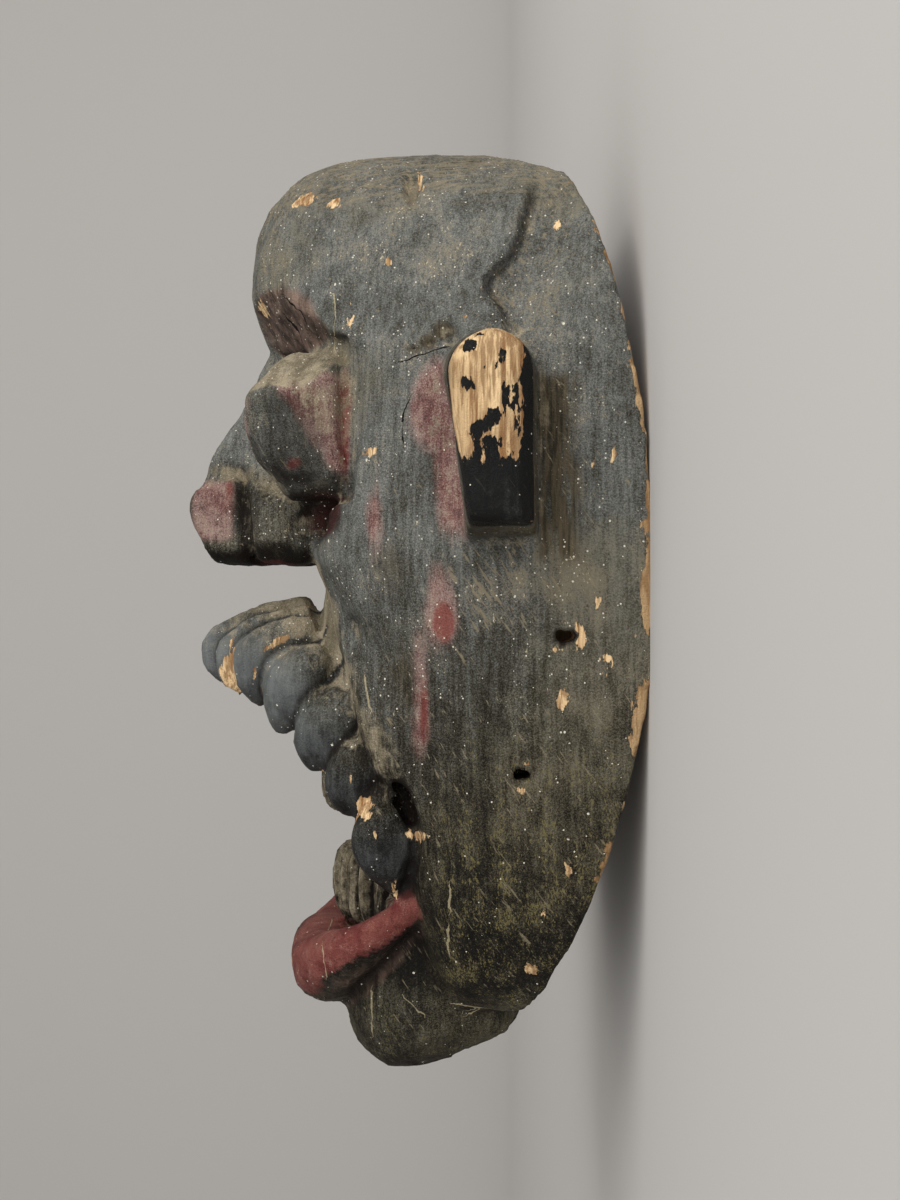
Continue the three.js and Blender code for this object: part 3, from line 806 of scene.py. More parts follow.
EAR_LEFT_ISLANDS = [
    ((104, 70.4, 49.7), (6, 2.6, 2.8)), ((104, 72.5, 47.1), (6, 1.8, 1.6)), ((104, 68, 40.8), (6, 2.4, 1.4)),
    ((104, 60.2, 50.5), (6, 2.8, 1.7)), ((104, 47.5, 47.6), (6, 4.2, 1.9)), ((104, 58, 40.5), (6, 5.4, 1.7)),
    ((104, 51.5, 43.6), (6, 3.6, 2.2)), ((104, 55, 37.6), (6, 8, 1.4)), ((104, 45, 44), (6, 2.0, 3)),
    ((104, 51, 46), (6, 2.4, 1.2)), ((104, 64, 45), (6, 1.5, 0.9)), ((104, 66, 43), (6, 2.2, 0.8)),
]
# Splintered lengths of the rim: middle and half length along y, and height
RIM_CHIPS = [
    (66, 9, 1.2), (18, 5, 1.4), (3.5, 8, 2.4), (-30, 11, 3.4), (-71, 5, 1.6),
    (-52, 4, 1.0), (84, 4, 0.2), (97, 6, 0.3), (111, 7, 0.5), (123, 4, 0.3),
]
# Dusky red paint that soaked in or rubbed off, and small spots of it that stayed bright
ROSE_SPOTS = [
    ((71, 1.4, 57.8), (14, 11, 4.6)), ((68, -22, 63.4), (14, 15, 1.9)), ((65, 24, 76.6), (14, 8, 1.7)),
    ((-69, 8, 60), (14, 8, 4)), ((-66, -26, 62), (14, 10, 2)),
]
BRIGHT_SPOTS = [
    ((71, -3.5, 57), (14, 5.5, 3.0)), ((68, -26, 62.4), (14, 8, 1.1)), ((57, 43.5, 102), (9, 1.8, 2.4)),
    ((14, 38, 125.6), (7, 3.2, 1.1)), ((57, 45, 86), (9, 4.5, 0.9)), ((42, -90, 73), (9, 1.8, 1.2)),
]
# Parts of the face as boxes, the right side folded over to the left: low corner and high corner
EAR_BOX = ((80, 14, 27), (130, 82, 60))
BESIDE_EAR_BOX = ((60, 12, 17), (120, 68, 33))
NOSE_BOX = ((-1, 12, 98), (27, 80, 150))
NOSE_TIP_BOX = ((6, 22.5, 124.5), (30, 41.5, 137.5))
MOUTH_BOX = ((-1, -106, 62), (42, -30, 150))
# Parts of the face as oval patches, folded over in the same way: middle and half sizes
EYELID = [((58, 60, 86), (9, 20, 1.6))]
PUPIL = [((56, 50, 102), (30, 15, 11))]
UNDER_EYE = [((38, 28, 93), (22, 9, 15))]
UNDER_BROW = [((34, 88, 105), (26, 13, 15))]
NOSTRIL_EDGES = [((10, 13, 110), (9, 4, 8))]
EAR_HOLLOW = [((74, 58, 60), (12, 14, 8)), ((76, 36, 54), (12, 17, 5.5)), ((78, 48, 56), (12, 18, 6))]
CHEEKBONE = [((74, 4, 42), (24, 20, 30))]
OLIVE_CHEEK = [((68, 12, 73), (20, 14, 9)), ((70, -16, 68), (20, 14, 6))]


def nearness_to_lip(points):
    """How far inside the lip each point lies, by the distance to its line against its size, and how high and
    how far out on it."""
    best = np.full(len(points), -1e3)
    height = np.zeros(len(points))
    outside = np.zeros(len(points))
    for centre, out, t, h in zip(*lip_path(np.linspace(0, 1, 61))):
        gap = points - centre
        across = gap @ out
        along = gap @ np.cross(out, (0, 1, 0))
        inside = (1.12 - np.sqrt((across / t) ** 2 + (gap[:, 1] / h) ** 2 + (along / t) ** 2)) * t
        better = inside > best
        best = np.where(better, inside, best)
        height = np.where(better, gap[:, 1] / h, height)
        outside = np.where(better, across / t, outside)
    return best, height, outside


def inside_mass(points, form, grow):
    """How far inside a rounded mass each point lies, the mass grown by some millimetres and on both sides."""
    half = np.array(form["half"], float) + grow
    gap = turned(folded(points) - np.array(form["at"], float), -form.get("turn", 0.0)) / half
    return (1 - np.sum(np.abs(gap) ** form["power"], axis=1) ** (1 / form["power"])) * half.min()


def inside_box(points, low, high):
    """How far inside a box each point lies, in millimetres, and below nothing outside it."""
    return np.minimum(points - np.array(low, float), np.array(high, float) - points).min(axis=1)


class Surface:
    """The carved skin with what its paint is laid out by: soft noise, and how far inside each feature a point
    lies, in millimetres or from 0 to 1."""

    def __init__(self, points, normals, edge, hollowed):
        self.points = points
        self.left = folded(points)
        self.x, self.y, self.z = points.T
        self.side = self.left[:, 0]
        self.up = normals[:, 1]
        self.edge = edge
        self.hollowed = hollowed
        self.broad = layered_noise(points, 34, 101)
        self.small = layered_noise(points, 9, 111)
        self.over_rim = self.z - np.maximum(rim_height(self.y), 0)
        self.cavity = smoothstep(-edge, 0.1, 0.5)
        self.eye = np.minimum(inside_mass(points, EYE, 2.5), self.z - 85.5)
        eye_back = np.minimum(self.eye, 0.8 * (87 + 0.667 * (self.y - 38) - self.z))
        self.eye_back = np.minimum(eye_back, 0.8 * (70 - self.y))
        self.on_eye = smoothstep(self.eye, 0, 2)
        self.under_eye = patches(self.left, UNDER_EYE)
        self.nose_tip = inside_box(self.left, *NOSE_TIP_BOX)
        self.ear = inside_box(self.left, *EAR_BOX)
        self.ear_hollow = patches(self.left, EAR_HOLLOW)
        self.on_ear = smoothstep(self.ear, 0, 3)
        self.outer_ear = self.on_ear * smoothstep(self.side, 92, 97)
        self.lip, self.lip_height, self.lip_out = nearness_to_lip(points)
        self.locks, self.lock_gap, self.lock_along = nearness_to_locks(points)
        self.on_lock = smoothstep(self.locks, -1.5, 1)
        self.between_locks = bell(self.lock_gap, 1.5) * smoothstep(self.locks, -5, -1)
        self.slot = inside_mass(points, MOUTH_SLOT, 0.6)
        self.in_bore = self.bored()
        self.in_mouth = self.mouth_share()
        self.tooth_gap = self.in_mouth * between_teeth(points)

    def bored(self):
        """True in the tie holes and just round them."""
        found = np.zeros(len(self.points), bool)
        for hole_y, hole_z, radius in TIE_HOLES:
            found |= np.hypot(self.y - hole_y, 0.75 * (self.z - hole_z)) < 1.25 * radius
        return found & (self.side > 55)

    def mouth_share(self):
        """From 0 to 1 inside the mouth, off the locks and off the lip's outer half, fading at the top."""
        outer_lip = (self.lip > 0) & ((self.lip_height < 0.4) | (self.lip_out > -0.35))
        inside = np.minimum(inside_box(self.left, *MOUTH_BOX), -self.locks)
        share = smoothstep(np.where(outer_lip, -1, inside), -1, 2)
        return share * smoothstep(6 * self.broad + 3 * self.small - self.y, 36, 58)


def bare_field(face):
    """Where the paint is gone, in millimetres: chips, worn edges, the outer ears, the rim and beside gaps
    between locks."""
    x, y, z, small = face.x, face.y, face.z, face.small
    grit = layered_noise(face.points, 3.4, 131)
    bare = patches(face.points, BARE_SPOTS) + 0.8 * small + 0.8 * grit - 0.55
    near_bore = np.min([np.hypot(y - hole_y, z - hole_z) for hole_y, hole_z, _ in TIE_HOLES], axis=0)
    sound = 3 * (1 - smoothstep(near_bore, 4, 6))
    worn_from = np.where(face.ear > 0, 0.95, 1.3)
    bare = np.maximum(bare, 4 * (face.edge - worn_from - 0.6 * face.broad - 0.5 * small - sound))

    ear_face = np.minimum(face.side - 97.5, 0.3 * (y - 41.5) - 1.2 * small)
    islands = 0.6 - patches(face.points, EAR_LEFT_ISLANDS) - 0.5 * small - 0.6 * grit
    islands = np.minimum(islands, 0.9 * (z - 35 - 0.07 * (72 - y)) + 1.2 * small)
    ear_face = np.where(x > 0, np.minimum(ear_face, islands), ear_face - 7 - 12 * small)
    bare = np.maximum(bare, np.where(face.ear > 0, ear_face, -9))

    worn_rim = 3.4 * layered_noise(face.points, (30, 20, 30), 121) + 1.6 * grit - 0.2 - face.over_rim
    worn_rim = worn_rim - 3.0 * smoothstep(np.abs(y - 8), 58, 84)
    for middle, half, height in RIM_CHIPS:
        chip = np.minimum(0.5 * (half - np.abs(y - middle)), height - face.over_rim)
        worn_rim = np.maximum(worn_rim, chip + 1.6 * grit + 0.8 * small)
    bare = np.maximum(bare, np.minimum(worn_rim, 6))

    beside_gap = 3.2 * small - 0.6 - 1.2 * np.abs(face.lock_gap - 2.4) - 4 * (1 - face.on_lock)
    bare = np.maximum(bare, beside_gap)
    return np.where(face.hollowed, 6, np.where(face.in_bore, -3, bare))


def red_fields(face):
    """Red paint kept fresh, rubbed to a dusky rose, or gone brown under brow and lip, in millimetres."""
    lip_red = 9 * (face.lip_height + 0.62 + 0.2 * face.broad - 0.34 * smoothstep(face.side, 28, 42))
    lip_red = np.minimum(np.minimum(face.lip, lip_red), 8 * (face.lip_out + 0.7))
    kept = [lip_red, patches(face.left, EYELID), patches(face.left, NOSTRIL_EDGES), face.under_eye - 1]
    red = np.max(kept + [patches(face.points, BRIGHT_SPOTS)], axis=0) + 0.7 * face.small
    rubbed = [face.eye_back, np.minimum(face.eye, face.z - 116), face.nose_tip, face.ear_hollow]
    rose = np.max(rubbed + [patches(face.points, ROSE_SPOTS)], axis=0) + 0.9 * face.small
    ruddy = patches(face.left, UNDER_BROW) + 7 * (-face.up - 0.3)
    ruddy = np.maximum(ruddy, np.minimum(face.lip, -lip_red - 2.5))
    return {"red": red, "rose": rose, "ruddy": np.where(face.eye > 1.5, -5, ruddy)}


def tone_and_shade_field(face):
    """How grey the paint has gone, from brown-black at 0 to pale slate at 1, with painted shade darkening the
    nose where it faces down.
    """
    y = face.y
    tone = 0.14 + 0.70 * smoothstep(y + 14 * face.broad + 0.12 * face.z, -94, 38)
    tone = tone + 0.22 * smoothstep(-y, 104, 122)
    tone = blend(tone, 0.32 + 0.44 * smoothstep(y, -62, -8), face.on_lock)
    # the nose darker where it faces down: painted shade
    nose_tone_and_shade = blend(0.46, 0.9, smoothstep(y, 36, 48)) - 0.35 * smoothstep(-face.up, 0.1, 0.6)
    tone = blend(tone, nose_tone_and_shade, smoothstep(inside_box(face.left, *NOSE_BOX), 0, 2))
    tone = blend(tone, 0.7, face.on_eye)
    return blend(tone, 0.08, face.outer_ear)


def dust_field(face):
    """Pale dust on ledges, above the moustache, beside the locks and in the mouth, from 0 to 1."""
    y, z, side, broad, small = face.y, face.z, face.side, face.broad, face.small
    philtrum = smoothstep(52 + 9 * broad + 5 * small - side, 0, 16) * smoothstep(18 - y, 0, 6)
    philtrum = philtrum * smoothstep(z, 78, 88) * smoothstep(y, -14, -2)
    philtrum = philtrum * (1 - smoothstep(z, 97, 103)) * (1 - 0.6 * face.on_lock)
    beside_locks = smoothstep(face.locks + 4 * broad, -12, -3) * (1 - smoothstep(face.locks, -1, 1))
    beside_locks = beside_locks * smoothstep(side, 30, 42)
    lock_root = face.on_lock * (1 - smoothstep(face.lock_along + 0.2 * small, 0.06, 0.36))
    ledge = smoothstep(face.up, 0.25, 0.9) * smoothstep(y, -40, 40) * (1 - 0.7 * face.on_lock)
    crease = bell(line_offset(face.points, GROOVES[1][0])[1], 4) * (side < 40)
    dust = sum([
        0.5 * face.cavity * smoothstep(y, -55, -5),
        0.4 * ledge,
        1.6 * philtrum,
        0.7 * crease,
        0.66 * face.in_mouth,
        (0.75 * beside_locks + 0.6 * lock_root) * smoothstep(y, -72, -40),
        0.5 * smoothstep(face.locks, -3, 1) * smoothstep(y, -22, -6),
        0.6 * face.on_eye * smoothstep(face.up, 0.3, 0.7),
        0.6 * smoothstep(face.eye_back, 0, 4),
        0.25 * smoothstep(face.ear_hollow, 0, 3),
        0.45 * smoothstep(face.nose_tip, 2, 6),
    ])
    dust = np.where(face.in_bore | (face.slot > -0.5), 0, dust)
    dust = dust * (1 - face.on_ear) * (1 - face.between_locks)
    return np.clip((dust + 0.2 * broad - 0.05) * (1 - face.tooth_gap), 0, 1)


def grime_field(face):
    """Painted shade with some real soiling, from 0 to 1: darkening under overhangs, in low hollows, the
    recess beside the nose, the nose's groove, the gaps between teeth and locks, deep in the mouth, in its
    slot and in the bores, where shade falls; the pupil, painted black; and a painted shadow at the foot of
    the temple's step."""
    y, z, side = face.y, face.z, face.side
    # painted shade on surfaces that face down, under overhangs
    shade = smoothstep(-face.up, 0.3, 0.85) * smoothstep(z, 30, 60) * (1 - 0.5 * smoothstep(face.lip, -3, 1))
    pupil = face.on_eye * smoothstep(patches(face.left, PUPIL) + 2 * face.small, -1, 3)
    line, width, _, (inner, outer) = GROOVES[0]
    # darkening in hollows, the recess, the groove, the gaps and the slot: painted shade with soiling; the
    # pupil is black paint
    grime = sum([
        0.7 * shade,
        0.7 * face.cavity * smoothstep(-y, 10, 50),
        smoothstep(face.under_eye, -2, 2),
        0.5 * pupil,
        bell(line_offset(face.points, line)[1], 1.5 * width) * (side > inner) * (side < outer),
        face.tooth_gap,
        smoothstep(face.slot, -0.8, 0.6),
        0.35 * face.in_mouth * smoothstep(92 - z, 0, 14),
        0.8 * face.between_locks,
    ])
    # the bores wholly dark: painted shade inside the holes
    grime = np.where(face.in_bore, 1, np.clip(grime, 0, 1))
    # painted shadow under the forehead's ledge, at the foot of the temple's step
    behind, _ = line_offset(face.points, TEMPLE_LINE)
    step_shadow = bell(behind - 1.2, 1.6) * smoothstep(side, 36, 46) * smoothstep(y, 80, 88)
    return np.maximum(grime, 0.75 * step_shadow * smoothstep(130 - y, 0, 10))


def wear_fields(face):
    """Paint rubbed tan, stained, flecked, kept fresh, brushed at the crown or aged at rim and ears, from 0
    to 1."""
    y, z, side, broad, small = face.y, face.z, face.side, face.broad, face.small
    behind, near_step = line_offset(face.points, TEMPLE_LINE)
    temple = smoothstep(behind, -2, 1) * (1 - smoothstep(near_step, 8, 24))
    temple = temple * smoothstep(side, 36, 46) * smoothstep(y, 74, 82)
    worn_front = smoothstep(z + 0.2 * y, 120, 134) * smoothstep(y, 86, 98)
    cheek_wear = smoothstep(patches(face.left, CHEEKBONE) + 6 * broad, 0, 10)
    tan = 0.42 * temple + 0.5 * worn_front + 0.3 * smoothstep(y, 120, 134) + 0.25 * broad + 0.5 * cheek_wear
    tan = np.maximum(tan, smoothstep(patch(face.points, **CROWN_NICK) + small, 0, 2))
    stains = [
        smoothstep(inside_box(face.left, *BESIDE_EAR_BOX) + 3 * small, 0, 5),
        0.55 * smoothstep(patches(face.left, OLIVE_CHEEK) + 4 * broad, 0, 6),
        0.8 * face.on_ear * (1 - smoothstep(side, 92, 98)),
        smoothstep(patches(face.points, GOUGED_PATCHES) + 2 * small, 0, 2),
    ]
    ochre = smoothstep(-y + 14 * broad, 6, 74) * smoothstep(66 - z, 0, 16) * smoothstep(side, 30, 50)
    ages = [
        1 - smoothstep(face.over_rim, 5, 9),
        face.on_ear * smoothstep(face.edge + 0.35 * small, 0.1, 0.7),
        0.7 * face.on_ear * smoothstep(small + 0.5 * broad, 0.05, 0.5),
    ]
    return {
        "tan": np.clip(tan, 0, 1),
        "stain": np.clip(np.max(stains, axis=0), 0, 1),
        "ochre": np.maximum(ochre, 0.6 * smoothstep(-y, 112, 124)),
        "fresh": np.maximum(face.on_lock * smoothstep(face.lock_along, 0.25, 0.6), face.outer_ear),
        "crown": smoothstep(y, 116, 130) * (1 - smoothstep(side, 70, 80)),
        "aged": np.max(ages, axis=0),
    }


# Lines seen from the side, in (y, z), and the side of the mask they are on
CRACKS = [
    ([(71.7, 68.8), (73.2, 64), (74.4, 59), (75.3, 55.6)], 1),
    ([(61, 66.5), (56, 68.3), (51.5, 69.3), (48, 68.4)], 1),
    ([(95.2, 105), (90, 100), (86, 98)], 1),
    ([(91, 106), (86.5, 102), (84, 101)], 1),
    ([(40, 30), (14, 27), (-6, 27)], -1),
]
SCRATCHES = [
    ([(94.6, 89.6), (88, 89), (79, 89.6)], 1),
    ([(-20, 80), (-28.4, 78.5)], 1),
    ([(-80, 55), (-86, 55.4)], 1),
    ([(-92, 55.6), (-101, 55.2)], 1),
    ([(-103, 93.5), (-110, 92.6)], 1),
    ([(-117, 79), (-130, 79)], 1),
    ([(-118, 68), (-122, 64)], 1),
    ([(-119, 53), (-120, 44)], 1),
    ([(-122.5, 49), (-120.6, 46)], 1),
]


def line_fields(points, lines):
    """Signed distance to the nearest of some lines, and a nearness from 1 at that line to 0 beyond 3 mm."""
    signed = np.full(len(points), 1e3)
    nearest = np.full(len(points), 1e3)
    for path, which_side in lines:
        offset, distance = line_offset(points, path)
        closer = (distance < nearest) & (np.sign(points[:, 0]) == which_side)
        signed = np.where(closer, offset, signed)
        nearest = np.where(closer, distance, nearest)
    return np.clip(signed, -9, 9), 1 - smoothstep(nearest, 1.8, 3.0)


def paint_fields(points, normals, edge, hollowed):
    """Named fields over the carving: millimetres for what has an outline, and 0 to 1 for what fades."""
    face = Surface(points, normals, edge, hollowed)
    fields = {"bare": bare_field(face), "tone": tone_and_shade_field(face)}
    fields.update(dust=dust_field(face), grime=grime_field(face), **red_fields(face), **wear_fields(face))
    for name, lines in (("crack", CRACKS), ("scratch", SCRATCHES)):
        fields[name], fields[name + "_near"] = line_fields(points, lines)
    return fields


# Material helpers

class Board:
    """A node tree with short ways to add and join nodes."""

    def __init__(self, tree):
        self.tree = tree

    def node(self, kind, **settings):
        made = self.tree.nodes.new(kind)
        for name, value in settings.items():
            setattr(made, name, value)
        return made

    def put(self, socket, value):
        """Joins a socket to a value that is another socket, or sets it to a number or a named colour."""
        if isinstance(value, bpy.types.NodeSocket):
            self.tree.links.new(value, socket)
        else:
            socket.default_value = COLOURS[value] if isinstance(value, str) else value

    def math(self, operation, first, second=0.0, third=0.0, clamp=False):
        made = self.node("ShaderNodeMath", operation=operation, use_clamp=clamp)
        for socket, value in zip(made.inputs, (first, second, third)):
            self.put(socket, value)
        return made.outputs[0]

    def times(self, first, second, clamp=False):
        return self.math("MULTIPLY", first, second, clamp=clamp)

    def piled(self, value, *parts):
        """The value with each part added to it at its own strength."""
        for part, strength in parts:
            value = self.math("MULTIPLY_ADD", part, strength, value)
        return value

    def stirred(self, value, *noises):
        """The value moved up and down by each noise at its own strength, every noise lying about one half."""
        for noise, strength in noises:
            value = self.math("MULTIPLY_ADD", self.math("SUBTRACT", noise, 0.5), strength, value)
        return value

    def mix(self, share, first, second):
        made = self.node("ShaderNodeMix", data_type="RGBA", blend_type="MIX", clamp_factor=True)
        self.put(made.inputs["Factor"], share)
        self.put(made.inputs["A"], first)
        self.put(made.inputs["B"], second)
        return made.outputs["Result"]

    def coat(self, under, mask, strength, over):
        """One colour laid over another where a mask is, at a strength."""
        return self.mix(self.times(mask, strength), under, over)

    def between(self, value, low, high, start=0.0, end=1.0):
        """Runs smoothly from start to end as the value goes from low to high."""
        made = self.node("ShaderNodeMapRange", interpolation_type="SMOOTHSTEP")
        names = ("Value", "From Min", "From Max", "To Min", "To Max")
        for name, number in zip(names, (value, low, high, start, end)):
            self.put(made.inputs[name], number)
        return made.outputs["Result"]

    def noise(self, vector, scale, detail=3.0, roughness=0.55):
        made = self.node("ShaderNodeTexNoise")
        self.put(made.inputs["Vector"], vector)
        self.put(made.inputs["Scale"], scale)
        self.put(made.inputs["Detail"], detail)
        self.put(made.inputs["Roughness"], roughness)
        return made.outputs["Fac"]

    def cells(self, vector, scale):
        """Distance from the middle of each small uneven cell, from 0 to about 0.9."""
        made = self.node("ShaderNodeTexVoronoi", feature="F1")
        self.put(made.inputs["Vector"], vector)
        self.put(made.inputs["Scale"], scale)
        return made.outputs["Distance"]

    def ramp(self, value, stops):
        """Colours along a value, mixed between one stop and the next."""
        made = self.node("ShaderNodeValToRGB")
        elements = made.color_ramp.elements
        elements[0].position, elements[0].color = stops[0]
        elements[1].position, elements[1].color = stops[-1]
        for where, tint in stops[1:-1]:
            elements.new(where).color = tint
        self.put(made.inputs["Fac"], value)
        return made.outputs["Color"]

    def stretched(self, vector, scale, turn=(0.0, 0.0, 0.0)):
        """The place turned, then scaled along each axis, so that noise is drawn out along the small ones."""
        made = self.node("ShaderNodeMapping", vector_type="TEXTURE")
        self.put(made.inputs["Vector"], vector)
        made.inputs["Rotation"].default_value = turn
        made.inputs["Scale"].default_value = [1 / share for share in scale]
        return made.outputs["Vector"]

    def place(self):
        return self.node("ShaderNodeTexCoord").outputs["Object"]

    def field(self, name):
        return self.node("ShaderNodeAttribute", attribute_name=name).outputs["Fac"]

    def use(self, group, **values):
        made = self.node("ShaderNodeGroup", node_tree=group)
        for name, value in values.items():
            self.put(made.inputs[name], value)
        return made.outputs


def colour(red, green, blue):
    return (red, green, blue, 1.0)


# Colours of paint, dirt and painted shade, and of wood
COLOURS = {
    "paper": colour(0.62, 0.605, 0.585),
    "room": colour(1.0, 0.98, 0.955),
    "grain_light": colour(0.6, 0.4, 0.2),
    "grain_dark": colour(0.3, 0.17, 0.07),
    "wood_light": colour(0.92, 0.66, 0.37),
    "wood_dark": colour(0.30, 0.145, 0.055),
    "wood_soiled": colour(0.30, 0.17, 0.08),
    "wood_handled": colour(0.25, 0.145, 0.065),
    "hollow_light": colour(0.30, 0.19, 0.10),
    "hollow_dark": colour(0.13, 0.075, 0.035),
    "hollow_streak": colour(0.10, 0.062, 0.035),
    "hollow_stain": colour(0.045, 0.030, 0.020),
    "hollow_dust": colour(0.5, 0.44, 0.34),
    "powdered": colour(0.235, 0.195, 0.125),
    "olive": colour(0.17, 0.145, 0.085),
    "stain_dark": colour(0.028, 0.022, 0.013),
    "stain_light": colour(0.115, 0.088, 0.050),
    "worn": colour(0.245, 0.205, 0.135),
    "stroke": colour(0.27, 0.225, 0.15),
    "lacquer_dark": colour(0.006, 0.0065, 0.007),
    "lacquer_light": colour(0.175, 0.19, 0.19),
    "rose_dark": colour(0.22, 0.090, 0.084),
    "rose_light": colour(0.34, 0.22, 0.195),
    "rose_rubbed": colour(0.42, 0.32, 0.255),
    "rose_soiled": colour(0.055, 0.035, 0.030),
    "red_dark": colour(0.14, 0.024, 0.024),
    "red_light": colour(0.24, 0.075, 0.060),
    "red_rubbed": colour(0.34, 0.17, 0.135),
    "red_soiled": colour(0.05, 0.012, 0.012),
    "ruddy_dark": colour(0.060, 0.036, 0.027),
    "ruddy_light": colour(0.27, 0.175, 0.135),
    # near-black of painted shade and soiling
    "shade_and_dirt": colour(0.008, 0.005, 0.004),
    "dust_dark": colour(0.155, 0.130, 0.085),
    "dust_light": colour(0.39, 0.33, 0.23),
    "ochre": colour(0.185, 0.155, 0.062),
    "scratch": colour(0.46, 0.39, 0.24),
    "speck": colour(0.78, 0.74, 0.62),
    "chip": colour(0.50, 0.43, 0.29),
    "pit": colour(0.014, 0.012, 0.010),
    "crack": colour(0.008, 0.006, 0.005),
}
# Black paint from where it is sound to where it has gone pale
PAINT_STOPS = [
    (0.0, colour(0.005, 0.0045, 0.004)),
    (0.22, colour(0.020, 0.017, 0.0105)),
    (0.45, colour(0.063, 0.060, 0.047)),
    (0.70, colour(0.142, 0.148, 0.139)),
    (1.0, colour(0.28, 0.28, 0.25)),
]


def new_group(name, inputs, outputs):
    """An empty node group with named sockets, each input a number or a colour by its starting value; returns
    its board, its inputs and its outputs."""
    group = bpy.data.node_groups.new(name, "ShaderNodeTree")
    for label, start in inputs.items():
        kind = "NodeSocketFloat" if isinstance(start, float) else "NodeSocketColor"
        socket = group.interface.new_socket(name=label, in_out="INPUT", socket_type=kind)
        socket.default_value = start
    for label in outputs:
        kind = "NodeSocketColor" if label == "Color" else "NodeSocketFloat"
        group.interface.new_socket(name=label, in_out="OUTPUT", socket_type=kind)
    board = Board(group)
    return board, board.node("NodeGroupInput").outputs, board.node("NodeGroupOutput").inputs


def ragged_edge_group():
    """Turns a field in millimetres into a mask whose edge is broken by fine noise."""
    sockets = {"Field": 0.0, "Raggedness": 1.2, "Softness": 0.2, "Fineness": 500.0}
    board, given, out = new_group("ragged edge", sockets, ["Mask"])
    grain = board.noise(board.stretched(board.place(), (1.0, 0.32, 1.0)), given["Fineness"], 3.0, 0.66)
    shifted = board.stirred(given["Field"], (grain, given["Raggedness"]))
    low = board.times(given["Softness"], -1.0)
    board.put(out["Mask"], board.between(shifted, low, given["Softness"]))
    return board.tree


def wood_grain_group():
    """Bare wood whose fibres run along Y: long fine streaks and broader bands between two colours."""
    sockets = {"Light": COLOURS["grain_light"], "Dark": COLOURS["grain_dark"]}
    board, given, out = new_group("wood grain", sockets, ["Color", "Height"])
    place = board.place()
    fibres = board.noise(board.stretched(place, (1.0, 0.045, 1.0)), 900.0, 4.0, 0.6)
    bands = board.noise(board.stretched(place, (1.0, 0.12, 1.0)), 150.0, 3.0, 0.5)
    share = board.math("ADD", board.times(fibres, 0.65), board.times(bands, 0.5))
    board.put(out["Color"], board.mix(board.between(share, 0.44, 0.66), given["Dark"], given["Light"]))
    board.put(out["Height"], board.times(fibres, 0.22))
    return board.tree


def speck_group():
    """Scattered specks: round cells of a size, kept where the cell's own number is under the amount."""
    board, given, out = new_group("specks", {"Fineness": 300.0, "Size": 0.2, "Amount": 0.1}, ["Mask"])
    place = board.place()
    wobble = board.noise(place, 1400.0, 2.0)
    cells = board.node("ShaderNodeTexVoronoi", feature="F1")
    board.put(cells.inputs["Vector"], place)
    board.put(cells.inputs["Scale"], given["Fineness"])
    number = board.node("ShaderNodeSeparateColor")
    board.put(number.inputs[0], cells.outputs["Color"])
    own_size = board.times(given["Size"], board.piled(0.35, (number.outputs[1], 0.9)))
    reach = board.stirred(cells.outputs["Distance"], (wobble, 0.22))
    shape = board.math("LESS_THAN", reach, own_size)
    kept = board.math("LESS_THAN", number.outputs[0], given["Amount"])
    board.put(out["Mask"], board.times(shape, kept))
    return board.tree


def streak_group():
    """Runs and weathering down the face: noise drawn out along Y, from 0 to 1."""
    board, given, out = new_group("streaks", {"Fineness": 120.0}, ["Value"])
    long_runs = board.noise(board.stretched(board.place(), (1.0, 0.09, 1.0)), given["Fineness"], 3.0, 0.6)
    board.put(out["Value"], board.between(long_runs, 0.3, 0.7))
    return board.tree


def line_group():
    """A thin line where a signed field crosses zero, only where its nearness holds, wavering in width."""
    board, given, out = new_group("thin line", {"Offset": 9.0, "Nearness": 0.0, "Width": 0.3}, ["Mask"])
    waver = board.noise(board.place(), 260.0, 3.0)
    away = board.math("ABSOLUTE", board.stirred(given["Offset"], (waver, 1.5)))
    uneven = board.between(board.noise(board.place(), 170.0), 0.35, 0.6, 0.3, 1.4)
    width = board.times(given["Width"], uneven)
    thin = board.math("SUBTRACT", 1.0, board.between(away, board.times(width, 0.6), width))
    board.put(out["Mask"], board.times(thin, board.math("GREATER_THAN", given["Nearness"], 0.5)))
    return board.tree


RAGGED_EDGE = ragged_edge_group()
WOOD_GRAIN = wood_grain_group()
SPECKS = speck_group()
STREAKS = streak_group()
THIN_LINE = line_group()


def ragged(board, name, raggedness, softness, fineness):
    """The mask of a named field, its edge broken by noise."""
    sizes = {"Raggedness": raggedness, "Softness": softness, "Fineness": fineness}
    return board.use(RAGGED_EDGE, Field=board.field(name), **sizes)["Mask"]


def specks(board, fineness, size, amount):
    return board.use(SPECKS, Fineness=fineness, Size=size, Amount=amount)["Mask"]


def streaks(board, fineness):
    return board.use(STREAKS, Fineness=fineness)["Value"]


def thin_lines(board, name, width):
    """The mask of the lines that a named field is measured from."""
    near = board.field(name + "_near")
    return board.use(THIN_LINE, Offset=board.field(name), Nearness=near, Width=width)["Mask"]


def drawn_noise(board, scale, fineness, roughness, turn=(0.0, 0.0, 0.0)):
    """Noise drawn out along the axes whose scale is small."""
    return board.noise(board.stretched(board.place(), scale, turn), fineness, 3.0, roughness)


def new_material(name):
    material = bpy.data.materials.new(name)
    material.use_nodes = True
    board = Board(material.node_tree)
    shader = material.node_tree.nodes["Principled BSDF"]
    return material, board, shader


def raise_surface(board, shader, height, strength):
    """A height in millimetres shown as relief."""
    bump = board.node("ShaderNodeBump")
    bump.inputs["Strength"].default_value = strength
    bump.inputs["Distance"].default_value = METRE
    board.put(bump.inputs["Height"], height)
    board.put(shader.inputs["Normal"], bump.outputs["Normal"])


